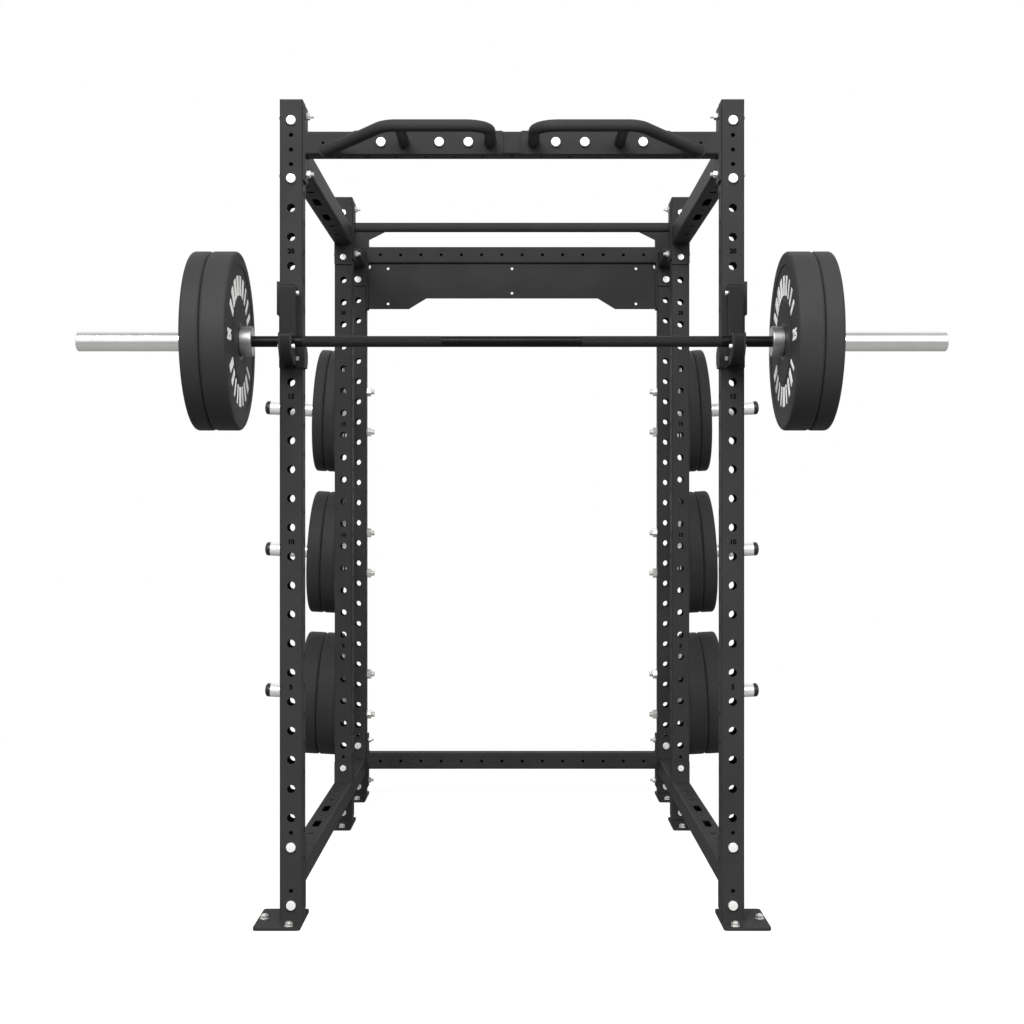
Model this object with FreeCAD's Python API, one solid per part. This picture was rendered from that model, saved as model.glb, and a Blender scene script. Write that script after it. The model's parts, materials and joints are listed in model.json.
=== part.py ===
import FreeCAD, Part
import math
import os
from FreeCAD import Placement, Rotation, Vector

# Power cage with a rear storage bay, a racked barbell and weight plates on storage pegs.
# Millimetres, +Z up, +X to the right of someone who faces the cage, +Y from the front to the back.
# The origin is on the floor, midway between the barbell plates at the front and the stored plates
# at the back, in the plane that divides left from right.

# ---- Driving dimensions ------------------------------------------------------------------------

# Square frame tube
tube = 60.0                     # outside width
tube_wall = 3.0
tube_corner = 5.0               # outside corner radius

# Cage
cage_width = 1200.0             # over the uprights
cage_height = 2130.0            # floor to the top of the caps
front_bay = 1200.0              # length of the beams from the front to the middle uprights
storage_bay = 450.0             # length of the links from the middle to the rear uprights

# Hole rows of the uprights
hole_pitch = 75.0
hole_radius = 10.5              # takes the frame bolts, the peg bolts and the cup pins
first_hole = 50.0               # height of row 0 above the floor
pilot_radius = 5.5              # small holes between the frame bolts
cross_bolt_offset = 17.5        # keeps bolts that run across clear of bolts that run front to back

# Holes in the walls of the long side beams that face up and down into the cage
side_hole_spots = (3.5, 5.5)    # in hole pitches from the beam's middle
side_pilot_spots = (0.0, 4.5)
side_slot_spot = 118.0          # slot's centre from the beam's middle
side_slot_length = 100.0

# Flanges on the ends of every beam
flange_thickness = 6.0
flange_edge = 23.0              # bolt centre to the end of the flange
flange_corner = 4.0
bolt_clearance = 0.5            # radial, shank in its hole

# Frame bolts, which run front to back through the uprights
frame_head_radius = 13.0
frame_head_height = 7.0
frame_nut_radius = 15.5         # over the flats' circle
frame_nut_height = 16.0
frame_bolt_tail = 12.0          # shank showing past the nut

# Cross bolts, which run left to right through the uprights
cross_bolt_radius = 5.0
cross_head_radius = 9.0
cross_head_height = 5.5
cross_nut_radius = 8.5
cross_nut_height = 10.0
cross_bolt_tail = 9.0

# Feet
foot_width = 120.0              # from the inner face of the upright outward
foot_front = 90.0              # from the upright's centre line forward
foot_rear = 106.0              # and backward
foot_thickness = 8.0
foot_corner = 10.0
anchor_radius = 6.0
anchor_nut_radius = 9.0
anchor_nut_height = 8.0
anchor_washer_radius = 11.5
anchor_washer_thickness = 2.0
anchor_tail = 3.0
anchor_edge = 17.0              # anchor centre to the edge of the foot

# Plastic caps on the tops of the uprights
cap_lip = 3.0
cap_plug_depth = 18.0
cap_hole_gap = 5.0              # plug down to the edge of the top hole
cap_wall = 2.0
cap_clearance = 0.2

# Sign plate under the rear top beam
sign_thickness = 4.0
sign_depth_middle = 130.0       # height under the beam in the middle
sign_depth_end = 169.5          # height under the beam at the ends
sign_slope_start = 318.0        # distance from the middle where the bottom edge starts to drop
sign_slope_end = 383.0
sign_hole_radius = 6.0
sign_hole_reach = 460.0
sign_hole_edge = 19.5           # hole centre to the plate's edge
sign_setback = 12.0             # behind the beam's front face, so it passes in front of the nuts
sign_relief_radius = 14.0       # round notch beside each flange, under the beam
sign_relief_drop = 12.0

# Straight pull-up bar between the middle uprights
pullup_radius = 16.0
pullup_wall = 3.0
pullup_rise = 14.5              # above the line midway between its flange bolts
gusset_reach_top = 105.0        # along the bar from the flange
gusset_reach_side = 47.0        # width of the gusset lower down
gusset_slope = 29.0             # height of the sloping edge
gusset_height = 56.0            # below the bar

# Grip wings in front of the top front beam
grip_radius = 15.0
grip_wall = 3.0
grip_reach = 181.0              # tube centre line in front of the frame
grip_inner = 56.0               # inner leg from the middle
grip_run_end = 315.0            # where the front run turns back
grip_outer = 482.0              # where the slanting leg meets the beam
grip_outer_drop = 16.0          # the slanting leg ends this much lower
grip_bend = 60.0                # bend radius on the centre line
grip_strut = 278.0
grip_strut_radius = 14.0
grip_plate_thickness = 5.0
grip_plate_start = 23.0
grip_plate_end = 508.0
grip_bolt_spots = (1.5, 2.5, 4.5)    # in hole pitches from the middle

# Cups that hold the barbell
cup_row = 20                    # hole row that takes the pin
cup_plate = 6.0                 # back plate and its side flanges
cup_side = 5.0                  # each side plate of the hook
cup_width = 34.0                # over both side plates
cup_bar_drop = 54.0             # pin down to the bar's centre
cup_bar_reach = 80.0            # frame face to the bar's centre
cup_lip_thickness = 20.0
cup_lip_rise = 21.0             # lip's top above the bar's centre
cup_top = 94.0                  # hook's top above the pin
cup_bottom = 110.0              # hook's underside below the pin
cup_heel_radius = 60.0          # round front lower corner of the hook
cup_crown_radius = 8.0          # round front upper corner of the hook
cup_bar_clearance = 0.3
cup_liner_proud = 3.0           # plastic core stands this far out of the steel
cup_plate_above = 15.0          # back plate past the hook's top
cup_plate_below = 3.0           # and past its underside
cup_flange_depth = tube
cup_flange_chamfer = 16.0
cup_upper_flange = 85.0
cup_lower_flange = 56.0
cup_pin_radius = 10.2
cup_pin_reach = 22.0
cup_bolt_radius = 4.0
cup_bolt_head_radius = 5.5
cup_bolt_head_height = 1.5      # low outside, clear of the plates
cup_bolt_nut_height = 3.5       # round barrel nut inside
cup_bolt_inset = 30.0           # bolts near the back plate: distance in front of the frame
cup_bolt_edge = 18.0            # those bolts to the hook's top and underside

# Barbell
shaft_radius = 14.0
collar_gap = 55.0               # outer faces of the uprights to the collars
sleeve_length = 445.0           # collar and end cap included
collar_length = 30.0
collar_radius = 38.0
sleeve_radius = 25.0
sleeve_bore_radius = 18.0
bush_length = 40.0
running_clearance = 0.05        # radial, shaft in its bushes
shaft_end_inset = 30.0          # shaft's end inside the end of the sleeve
ring_thickness = 3.0
ring_radius = 17.0
ring_gap = 0.3                  # end play beside the retaining ring
end_cap_thickness = 6.0

# Weight plates
plate_radius = 225.0
plate_bore_clearance = 0.2      # radial, on the sleeves and pegs
plate_hub_radius = 47.0
plate_rim = 32.0                # width of the full-thickness rim
plate_land = 104.0              # outer radius of the full-thickness middle
plate_recess = 2.5
plate_edge = 5.0                # bevel round the tread
bar_plates = (65.0, 48.0)       # thicknesses from the collar outward

# Storage pegs
peg_length = 292.0
peg_tilt = 3.0                  # degrees above level
peg_collar_length = 30.0
peg_collar_radius = 38.0
peg_wall = 4.0
peg_lowest_row = 4.5            # pegs stand midway between two rows
stored_gap = 50.0               # least space between the plates of one peg and the next
stored_plates = {"bottom": (65.0, 65.0), "middle": (50.0, 50.0), "top": (40.0, 40.0)}
peg_cap_length = 21.0           # domed part past the tube's end
peg_cap_round = 12.0            # edge radius of the dome
peg_cap_plug = 20.0

# ---- Places worked out from them ---------------------------------------------------------------

front_reach = cup_bar_reach + plate_radius
middle_y = tube + front_bay
rear_y = middle_y + tube + storage_bay
rear_reach = rear_y + tube / 2 + plate_radius
face_y = (front_reach - rear_reach) / 2      # front faces of the front uprights

upright_x = (cage_width - tube) / 2          # centre line of the uprights
inner_x = cage_width / 2 - tube              # their inner faces
upright_fronts = {"front": face_y, "middle": face_y + middle_y, "rear": face_y + rear_y}

top_hole_limit = cage_height - cap_lip - cap_plug_depth - cap_hole_gap - hole_radius
last_row = int((top_hole_limit - first_hole) // hole_pitch)
top_row = last_row - 1                       # the top side beams are centred on this row
bottom_row = 1                               # and the bottom ones on this row
frame_bolt_rows = (bottom_row - 1, bottom_row + 1, top_row - 1, top_row + 1)


def row_height(row):
    """Height above the floor of a hole row. Halves lie midway between two rows."""
    return first_hole + row * hole_pitch


side_top_z = row_height(top_row)
side_bottom_z = row_height(bottom_row)
cross_top_z = side_top_z + cross_bolt_offset
cross_bottom_z = side_bottom_z + cross_bolt_offset
cross_bolt_heights = {
    "top": (cross_top_z - hole_pitch, cross_top_z + hole_pitch),
    "bottom": (cross_bottom_z - hole_pitch, cross_bottom_z + hole_pitch),
}
flange_height = 2 * (hole_pitch + flange_edge)
frame_bolt_radius = hole_radius - bolt_clearance
cross_hole_radius = cross_bolt_radius + bolt_clearance

peg_row_step = math.ceil((2 * plate_radius + stored_gap) / hole_pitch)
peg_rows = [peg_lowest_row + step * peg_row_step for step in range(len(stored_plates))]
peg_heights = dict(zip(stored_plates, (row_height(row) for row in peg_rows)))
plate_bore = sleeve_radius + plate_bore_clearance

pin_z = row_height(cup_row)
bar_y = face_y - cup_bar_reach
bar_z = pin_z - cup_bar_drop
collar_x = cage_width / 2 + collar_gap
bar_end_x = collar_x + sleeve_length
shaft_end_x = bar_end_x - shaft_end_inset

# ---- Shared shapes -----------------------------------------------------------------------------

X, Y, Z = Vector(1, 0, 0), Vector(0, 1, 0), Vector(0, 0, 1)


def moved(shape, x=0.0, y=0.0, z=0.0):
    copy = shape.copy()
    copy.translate(Vector(x, y, z))
    return copy


def turned(shape, direction):
    """A shape built along +Z, turned to point along another direction."""
    copy = shape.copy()
    copy.Placement = Placement(Vector(0, 0, 0), Rotation(Z, direction)).multiply(copy.Placement)
    return copy


def mirrored(shape):
    """The same piece on the left side of the cage."""
    return shape.mirror(Vector(0, 0, 0), X)


def both_sides(shapes):
    return shapes + [mirrored(shape) for shape in shapes]


def box(x_range, y_range, z_range):
    low = Vector(x_range[0], y_range[0], z_range[0])
    return Part.makeBox(x_range[1] - x_range[0], y_range[1] - y_range[0], z_range[1] - z_range[0], low)


def cylinder(radius, start, direction, length):
    return Part.makeCylinder(radius, length, start, direction)


def rounded_block(width, depth, height, corner):
    """A block centred on Z that stands on Z = 0, with its upright edges rounded."""
    block = box((-width / 2, width / 2), (-depth / 2, depth / 2), (0, height))
    upright_edges = [edge for edge in block.Edges if abs(edge.tangentAt(edge.FirstParameter).z) > 0.5]
    return block.makeFillet(corner, upright_edges)


def square_tube(length):
    outside = rounded_block(tube, tube, length, tube_corner)
    inside_width = tube - 2 * tube_wall
    return outside.cut(rounded_block(inside_width, inside_width, length, tube_corner - tube_wall))


def hex_prism(flat_radius, height):
    """A hexagonal prism on Z = 0, its size given to the middle of a flat."""
    corner = flat_radius / math.cos(math.pi / 6)
    angles = [math.pi / 3 * step for step in range(7)]
    outline = [Vector(corner * math.cos(a), corner * math.sin(a), 0) for a in angles]
    return Part.Face(Part.makePolygon(outline)).extrude(Vector(0, 0, height))


def ring(outer, inner, length):
    return cylinder(outer, Vector(), Z, length).cut(cylinder(inner, Vector(), Z, length))


def rounded_path(points, radius):
    """A wire through the points, with an arc of one radius at every point between the ends."""
    edges = []
    start = points[0]
    for before, corner, after in zip(points, points[1:], points[2:]):
        arriving = (corner - before).normalize()
        leaving = (after - corner).normalize()
        half_turn = arriving.getAngle(leaving) / 2
        setback = radius * math.tan(half_turn)
        arc_start = corner - arriving * setback
        arc_end = corner + leaving * setback
        to_centre = (leaving - arriving).normalize()
        arc_middle = corner + to_centre * (radius / math.cos(half_turn) - radius)
        edges.append(Part.LineSegment(start, arc_start).toShape())
        edges.append(Part.Arc(arc_start, arc_middle, arc_end).toShape())
        start = arc_end
    edges.append(Part.LineSegment(start, points[-1]).toShape())
    return Part.Wire(edges)


def swept_rod(path, radius):
    start = path.Edges[0]
    section = Part.Wire(Part.Circle(start.valueAt(start.FirstParameter),
                                    start.tangentAt(start.FirstParameter), radius).toShape())
    return path.makePipeShell([section], True, False)


def profile_prism(points, x_range):
    """A prism along X from an outline of (y, z) corners, or (y, z) pairs of an arc's middle and end."""
    edges = []
    here = points[0]
    for step in points[1:]:
        if len(step) == 2:
            edges.append(Part.LineSegment(vector_yz(here), vector_yz(step)).toShape())
            here = step
        else:
            middle, end = step[:2], step[2:]
            edges.append(Part.Arc(vector_yz(here), vector_yz(middle), vector_yz(end)).toShape())
            here = end
    face = moved(Part.Face(Part.Wire(edges)), x=x_range[0])
    return face.extrude(Vector(x_range[1] - x_range[0], 0, 0))


def vector_yz(point):
    return Vector(0, point[0], point[1])


# ---- Frame -------------------------------------------------------------------------------------

def upright():
    """One upright, centred on Z, with the foot under it left out."""
    length = cage_height - cap_lip - foot_thickness
    body = moved(square_tube(length), z=foot_thickness)
    pin_rows = [row for row in range(last_row + 1) if row not in (bottom_row, top_row)]
    pilot_rows = (bottom_row - 0.5, bottom_row + 1.5, top_row - 0.5, top_row, top_row + 0.5)
    holes = [front_hole(hole_radius, row_height(row)) for row in pin_rows]
    holes += [front_hole(pilot_radius, row_height(row)) for row in pilot_rows]
    for heights in cross_bolt_heights.values():
        holes += [side_hole(cross_hole_radius, height) for height in heights]
    return body.cut(holes)


def front_hole(radius, height):
    return cylinder(radius, Vector(0, -tube, height), Y, 2 * tube)


def side_hole(radius, height):
    return cylinder(radius, Vector(-tube, 0, height), X, 2 * tube)


def rear_upright():
    """The rear uprights also carry the storage pegs, bolted through their sides."""
    holes = [side_hole(hole_radius, height) for height in peg_bolt_heights()]
    return upright().cut(holes)


def peg_bolt_heights():
    return [height + offset for height in peg_heights.values() for offset in (-hole_pitch, hole_pitch)]


def foot():
    """A foot plate under a right-hand upright, drilled for its anchors."""
    plate = rounded_block(foot_width, foot_front + foot_rear, foot_thickness, foot_corner)
    plate = moved(plate, x=(foot_width - tube) / 2, y=(foot_rear - foot_front) / 2)
    holes = [cylinder(anchor_radius + bolt_clearance, spot, Z, foot_thickness) for spot in anchor_spots()]
    return plate.cut(holes)


def anchor_spots():
    """Anchors in front of, behind and outside the upright."""
    outside = foot_width - tube / 2 - anchor_edge
    return [
        Vector(0, anchor_edge - foot_front, 0),
        Vector(0, foot_rear - anchor_edge, 0),
        Vector(outside, 0, 0),
    ]


def anchor():
    """Anchor stud, washer and nut, with its stud cut off at the floor."""
    washer_top = foot_thickness + anchor_washer_thickness
    nut_top = washer_top + anchor_nut_height
    stud = cylinder(anchor_radius, Vector(), Z, nut_top + anchor_tail)
    washer = cylinder(anchor_washer_radius, Vector(0, 0, foot_thickness), Z, anchor_washer_thickness)
    nut = moved(hex_prism(anchor_nut_radius, anchor_nut_height), z=washer_top)
    return stud.fuse([washer, nut])


def upright_cap():
    """A push-in cap: a flat lid over the tube's end and a hollow plug inside it."""
    plug_width = tube - 2 * tube_wall - 2 * cap_clearance
    plug_corner = tube_corner - tube_wall
    plug = rounded_block(plug_width, plug_width, cap_plug_depth, plug_corner)
    hollow_width = plug_width - 2 * cap_wall
    plug = plug.cut(rounded_block(hollow_width, hollow_width, cap_plug_depth, cap_wall / 2))
    lid = moved(rounded_block(tube, tube, cap_lip, tube_corner), z=cap_plug_depth)
    return moved(plug.fuse(lid), z=cage_height - cap_lip - cap_plug_depth)


def flange(hole, below=flange_height / 2):
    """An end flange square to Z, with its long side along Y and its two bolt holes."""
    height = flange_height / 2 + below
    plate = moved(rounded_block(tube, height, flange_thickness, flange_corner),
                  y=(flange_height / 2 - below) / 2)
    holes = [cylinder(hole, Vector(0, offset, 0), Z, flange_thickness) for offset in (-hole_pitch, hole_pitch)]
    return plate.cut(holes)


def beam(length, hole, below=flange_height / 2):
    """A tube with a welded flange at each end. It runs along Z and its height is along Y."""
    middle = moved(square_tube(length - 2 * flange_thickness), z=flange_thickness)
    end = flange(hole, below)
    return middle.fuse([end, moved(end, z=length - flange_thickness)])


def side_beam(length, start_y, height):
    """A right-hand beam that runs from front to back."""
    placed = turned(beam(length, hole_radius), Y)
    return moved(placed, x=upright_x, y=start_y, z=height)


def long_side_beam(height, facing):
    """A right-hand beam of the front bay, with holes in the wall that faces up (1) or down (-1)."""
    start_y = face_y + tube
    middle = start_y + front_bay / 2
    cutter_base = height + facing * (tube - tube_wall) / 2 - tube_wall
    depth = 2 * tube_wall
    cutters = []
    for spots, radius in ((side_hole_spots, hole_radius), (side_pilot_spots, pilot_radius)):
        for spot in sorted({sign * pitches * hole_pitch for pitches in spots for sign in (-1, 1)}):
            cutters.append(cylinder(radius, Vector(upright_x, middle + spot, cutter_base), Z, depth))
    for sign in (-1, 1):
        centre = Vector(upright_x, middle + sign * side_slot_spot, cutter_base)
        cutters.append(slot_cutter(centre, side_slot_length, hole_radius, depth))
    return side_beam(front_bay, start_y, height).cut(cutters)


def slot_cutter(centre, length, radius, depth):
    """Cutter for a slot with round ends. It runs along Y and stands on its centre."""
    half = length / 2 - radius
    middle = box((-radius, radius), (-half, half), (0, depth))
    ends = [cylinder(radius, Vector(0, sign * half, 0), Z, depth) for sign in (-1, 1)]
    return moved(middle.fuse(ends), centre.x, centre.y, centre.z)


def cross_beam(front, height, below=flange_height / 2):
    """A beam that runs from the left to the right uprights."""
    body = beam(cage_width - 2 * tube, cross_hole_radius, below)
    body.Placement = Placement(Vector(-inner_x, front + tube / 2, height), Rotation(Y, Z, X, "ZXY"))
    return body


def beam_front_holes(height, front, radius, spots):
    """Cutters for holes in the front wall of a cross beam, at distances along it from the middle."""
    return [cylinder(radius, Vector(spot, front - tube_wall, height), Y, 3 * tube_wall) for spot in spots]


def pitch_spots(offset, reach):
    """Distances from the middle in steps of the hole pitch, on both sides, out to a reach."""
    steps = int((reach - offset) // hole_pitch) + 1
    right = [offset + step * hole_pitch for step in range(steps)]
    return sorted({sign * spot for spot in right for sign in (-1, 1)})


def top_front_beam():
    front = upright_fronts["front"]
    body = cross_beam(front, cross_top_z)
    bolt_holes = [sign * spot * hole_pitch for spot in grip_bolt_spots for sign in (-1, 1)]
    cutters = [cylinder(cross_hole_radius, Vector(spot, front - tube_wall, cross_top_z), Y, tube + 2 * tube_wall)
               for spot in bolt_holes]
    underside = cross_top_z - tube / 2
    cutters += [cylinder(pilot_radius, Vector(spot, front + tube / 2, underside - tube_wall), Z, 3 * tube_wall)
                for spot in pitch_spots(0, inner_x - hole_pitch)]
    return body.cut(cutters)


def rear_beam(height, below=flange_height / 2):
    front = upright_fronts["rear"]
    spots = pitch_spots(hole_pitch / 2, inner_x - hole_pitch / 2)
    return cross_beam(front, height, below).cut(beam_front_holes(height, front, pilot_radius, spots))


def sign_plate():
    """A bare steel sheet welded under the rear top beam, deeper at its ends."""
    top = cross_top_z - tube / 2
    reach = inner_x - flange_thickness
    middle_low, end_low = top - sign_depth_middle, top - sign_depth_end
    right = [(reach, top), (reach, end_low), (sign_slope_end, end_low), (sign_slope_start, middle_low)]
    outline = right + [(-x, z) for x, z in reversed(right)]
    corners = [Vector(x, 0, z) for x, z in outline + outline[:1]]
    sheet = Part.Face(Part.makePolygon(corners)).extrude(Vector(0, sign_thickness, 0))
    upper, lower = top - sign_hole_edge, end_low + sign_hole_edge
    spots = [(0, upper), (0, middle_low + sign_hole_edge)]
    spots += [(sign * sign_hole_reach, height) for sign in (-1, 1) for height in (upper, lower)]
    holes = [cylinder(sign_hole_radius, Vector(x, 0, z), Y, sign_thickness) for x, z in spots]
    holes += [cylinder(sign_relief_radius, Vector(sign * reach, 0, top - sign_relief_drop), Y, sign_thickness)
              for sign in (-1, 1)]
    return moved(sheet.cut(holes), y=upright_fronts["rear"] + sign_setback)


def pullup_bar():
    """Round bar with a flange at each end and a gusset under each end."""
    centre_y = upright_fronts["middle"] + tube / 2
    bar_height = cross_top_z + pullup_rise
    reach = inner_x - flange_thickness
    bar = ring(pullup_radius, pullup_radius - pullup_wall, 2 * reach)
    bar = moved(turned(bar, X), x=-reach, y=centre_y, z=bar_height)
    end = flange(cross_hole_radius)
    end.Placement = Placement(Vector(reach, centre_y, cross_top_z), Rotation(Y, Z, X, "ZXY"))
    bar_line = bar_height - pullup_radius + pullup_wall / 2
    outline = [
        (reach, bar_line),
        (reach - gusset_reach_top, bar_line),
        (reach - gusset_reach_side, bar_line - gusset_slope),
        (reach - gusset_reach_side, bar_line - gusset_height),
        (reach, bar_line - gusset_height),
        (reach, bar_line),
    ]
    corners = [Vector(x, centre_y - flange_thickness / 2, z) for x, z in outline]
    gusset = Part.Face(Part.makePolygon(corners)).extrude(Vector(0, flange_thickness, 0))
    bore = cylinder(pullup_radius - pullup_wall / 2, Vector(-reach, centre_y, bar_height), X, 2 * reach)
    gusset = gusset.cut(bore)
    return bar.fuse(both_sides([end, gusset]))


def grip_wing():
    """A right-hand wing: a face plate, a bent tube and a straight strut, welded together."""
    face = upright_fronts["front"] - grip_plate_thickness
    tip = upright_fronts["front"] - grip_reach
    height = cross_top_z
    slant = Vector(grip_outer - grip_run_end, face - tip, -grip_outer_drop)
    past_face = Vector(grip_run_end, tip, height) + slant * (1 + grip_radius / (face - tip))
    points = [Vector(grip_inner, face, height), Vector(grip_inner, tip, height),
              Vector(grip_run_end, tip, height), past_face]
    path = rounded_path(points, grip_bend)
    strut_start = Vector(grip_strut, tip, height)
    outside = swept_rod(path, grip_radius).fuse(cylinder(grip_strut_radius, strut_start, Y, face - tip))
    hollow = swept_rod(path, grip_radius - grip_wall)
    behind = box((0, cage_width), (face, face + grip_reach), (height - tube, height + tube))
    plate = rounded_block(grip_plate_end - grip_plate_start, tube, grip_plate_thickness, flange_corner)
    plate = moved(turned_flat(plate), x=(grip_plate_start + grip_plate_end) / 2,
                  y=upright_fronts["front"], z=height)
    holes = [cylinder(cross_hole_radius, Vector(spot * hole_pitch, face, height), Y, grip_plate_thickness)
             for spot in grip_bolt_spots]
    return outside.cut([hollow, behind]).fuse(plate.cut(holes))


def turned_flat(shape):
    """A plate built on Z = 0, stood up so that its thickness runs toward the front."""
    copy = shape.copy()
    copy.rotate(Vector(), X, 90)
    return copy


# ---- Bolts -------------------------------------------------------------------------------------

def bolt(radius, head_radius, head_height, length):
    """A bolt whose head stands below Z = 0 and whose shank runs up from it."""
    head = cylinder(head_radius, Vector(0, 0, -head_height), Z, head_height)
    return head.fuse(cylinder(radius, Vector(), Z, length))


def nut(radius, flat_radius, height):
    return hex_prism(flat_radius, height).cut(cylinder(radius, Vector(), Z, height))


def frame_fasteners():
    """Bolts front to back through every upright and its side-beam flanges, and their nuts."""
    bolts, nuts = [], []
    flanges_before = {"front": 0, "middle": flange_thickness, "rear": flange_thickness}
    flanges_behind = {"front": flange_thickness, "middle": flange_thickness, "rear": 0}
    for place, front in upright_fronts.items():
        start = front - flanges_before[place]
        end = front + tube + flanges_behind[place]
        length = end - start + frame_nut_height + frame_bolt_tail
        one_bolt = turned(bolt(frame_bolt_radius, frame_head_radius, frame_head_height, length), Y)
        one_nut = turned(nut(frame_bolt_radius, frame_nut_radius, frame_nut_height), Y)
        for row in frame_bolt_rows:
            bolts.append(moved(one_bolt, x=upright_x, y=start, z=row_height(row)))
            nuts.append(moved(one_nut, x=upright_x, y=end, z=row_height(row)))
    return both_sides(bolts), both_sides(nuts)


def cross_fasteners():
    """Bolts from outside through the uprights and the flanges of the cross beams, and their nuts."""
    length = tube + flange_thickness + cross_nut_height + cross_bolt_tail
    one_bolt = turned(bolt(cross_bolt_radius, cross_head_radius, cross_head_height, length), -X)
    one_nut = turned(nut(cross_bolt_radius, cross_nut_radius, cross_nut_height), -X)
    places = [("front", "top"), ("middle", "top"), ("rear", "top"), ("rear", "bottom")]
    bolts, nuts = [], []
    for upright_place, level in places:
        centre_y = upright_fronts[upright_place] + tube / 2
        for height in cross_bolt_heights[level]:
            bolts.append(moved(one_bolt, x=cage_width / 2, y=centre_y, z=height))
            nuts.append(moved(one_nut, x=inner_x - flange_thickness, y=centre_y, z=height))
    return both_sides(bolts), both_sides(nuts)


def peg_fasteners():
    """Bolts from outside through the base plates of the pegs and the rear uprights."""
    length = flange_thickness + tube + frame_nut_height + frame_bolt_tail
    one_bolt = turned(bolt(frame_bolt_radius, frame_head_radius, frame_head_height, length), -X)
    one_nut = turned(nut(frame_bolt_radius, frame_nut_radius, frame_nut_height), -X)
    centre_y = upright_fronts["rear"] + tube / 2
    bolts = [moved(one_bolt, x=cage_width / 2 + flange_thickness, y=centre_y, z=height)
             for height in peg_bolt_heights()]
    nuts = [moved(one_nut, x=inner_x, y=centre_y, z=height) for height in peg_bolt_heights()]
    return both_sides(bolts), both_sides(nuts)


def grip_bolts():
    """Bolts through the face plates of the grip wings and the top front beam."""
    face = upright_fronts["front"] - grip_plate_thickness
    length = grip_plate_thickness + tube + cross_nut_height + cross_bolt_tail
    one = bolt(cross_bolt_radius, frame_head_radius, frame_head_height, length)
    one = one.fuse(moved(hex_prism(cross_nut_radius, cross_nut_height), z=grip_plate_thickness + tube))
    one = turned(one, Y)
    return both_sides([moved(one, x=spot * hole_pitch, y=face, z=cross_top_z) for spot in grip_bolt_spots])


# ---- Cups --------------------------------------------------------------------------------------

def hook_outline(inset):
    """Side view of a cup's hook, with the faces that meet the bar set back by an inset.

    Heights are from the floor. The bar lies in a round seat between the spine and the lip.
    """
    back = face_y - cup_plate
    seat = shaft_radius + cup_bar_clearance + inset
    spine = bar_y + seat
    lip_inner = bar_y - seat
    lip_outer = bar_y - shaft_radius - cup_bar_clearance - cup_lip_thickness
    lip_round = (lip_inner - lip_outer) / 2
    lip_middle = (lip_inner + lip_outer) / 2
    lip_shoulder = bar_z + cup_lip_rise - lip_round - inset
    top, bottom = pin_z + cup_top, pin_z - cup_bottom
    heel, crown = cup_heel_radius, cup_crown_radius
    diagonal = math.sqrt(0.5)
    return [
        (back, top),
        (back, bottom),
        (lip_outer + heel, bottom),
        (lip_outer + heel * (1 - diagonal), bottom + heel * (1 - diagonal), lip_outer, bottom + heel),
        (lip_outer, lip_shoulder),
        (lip_middle, lip_shoulder + lip_round, lip_inner, lip_shoulder),
        (lip_inner, bar_z),
        (bar_y, bar_z - seat, spine, bar_z),
        (spine, top - crown),
        (spine + crown * (1 - diagonal), top - crown * (1 - diagonal), spine + crown, top),
        (back, top),
    ]


def cup_bolt_spots():
    """The three bolts that clamp the plastic core: high and low by the back plate, and in the lip."""
    near_back = face_y - cup_bolt_inset
    in_lip = bar_y - shaft_radius - cup_bar_clearance - cup_lip_thickness / 2
    return [
        (near_back, pin_z + cup_top - cup_bolt_edge),
        (near_back, pin_z - cup_bottom + cup_bolt_edge),
        (in_lip, bar_z - shaft_radius),
    ]


def cup_bracket():
    """Steel of the right-hand cup: back plate, two opposite flanges, pin and two side plates."""
    half = tube / 2
    low = pin_z - cup_bottom - cup_plate_below
    high = pin_z + cup_top + cup_plate_above
    front, back = face_y - cup_plate, face_y + cup_flange_depth
    plate = box((-half, half), (front, face_y), (low, high))
    upper = cup_flange((half, half + cup_plate), front, back, (high - cup_upper_flange, high))
    lower = cup_flange((-half - cup_plate, -half), front, back, (low, low + cup_lower_flange))
    pin = cylinder(cup_pin_radius, Vector(0, face_y - cup_plate / 2, pin_z), Y, cup_plate / 2 + cup_pin_reach)
    outline = hook_outline(cup_liner_proud)
    sides = [
        profile_prism(outline, (-cup_width / 2, -cup_width / 2 + cup_side)),
        profile_prism(outline, (cup_width / 2 - cup_side, cup_width / 2)),
    ]
    bracket = plate.fuse([upper, lower, pin] + sides)
    return moved(bracket.cut(cup_bolt_holes()), x=upright_x)


def cup_flange(x_range, front, back, z_range):
    """A side flange of the back plate, with the two corners away from the plate cut off."""
    cut = cup_flange_chamfer
    low, high = z_range
    outline = [(front, low), (back - cut, low), (back, low + cut), (back, high - cut),
               (back - cut, high), (front, high), (front, low)]
    return profile_prism(outline, x_range)


def cup_bolt_holes():
    return [cylinder(cup_bolt_radius + bolt_clearance / 2, Vector(-tube, y, z), X, 2 * tube)
            for y, z in cup_bolt_spots()]


def cup_core():
    """Plastic between the side plates, and over their edges wherever the bar can touch."""
    half = cup_width / 2
    reach = half - cup_side
    core = profile_prism(hook_outline(0), (-reach, reach))
    over_edges = profile_prism(hook_outline(0), (-half, half))
    over_edges = over_edges.cut(profile_prism(hook_outline(cup_liner_proud), (-cup_width, cup_width)))
    return moved(core.fuse(over_edges).cut(cup_bolt_holes()), x=upright_x)


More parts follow.
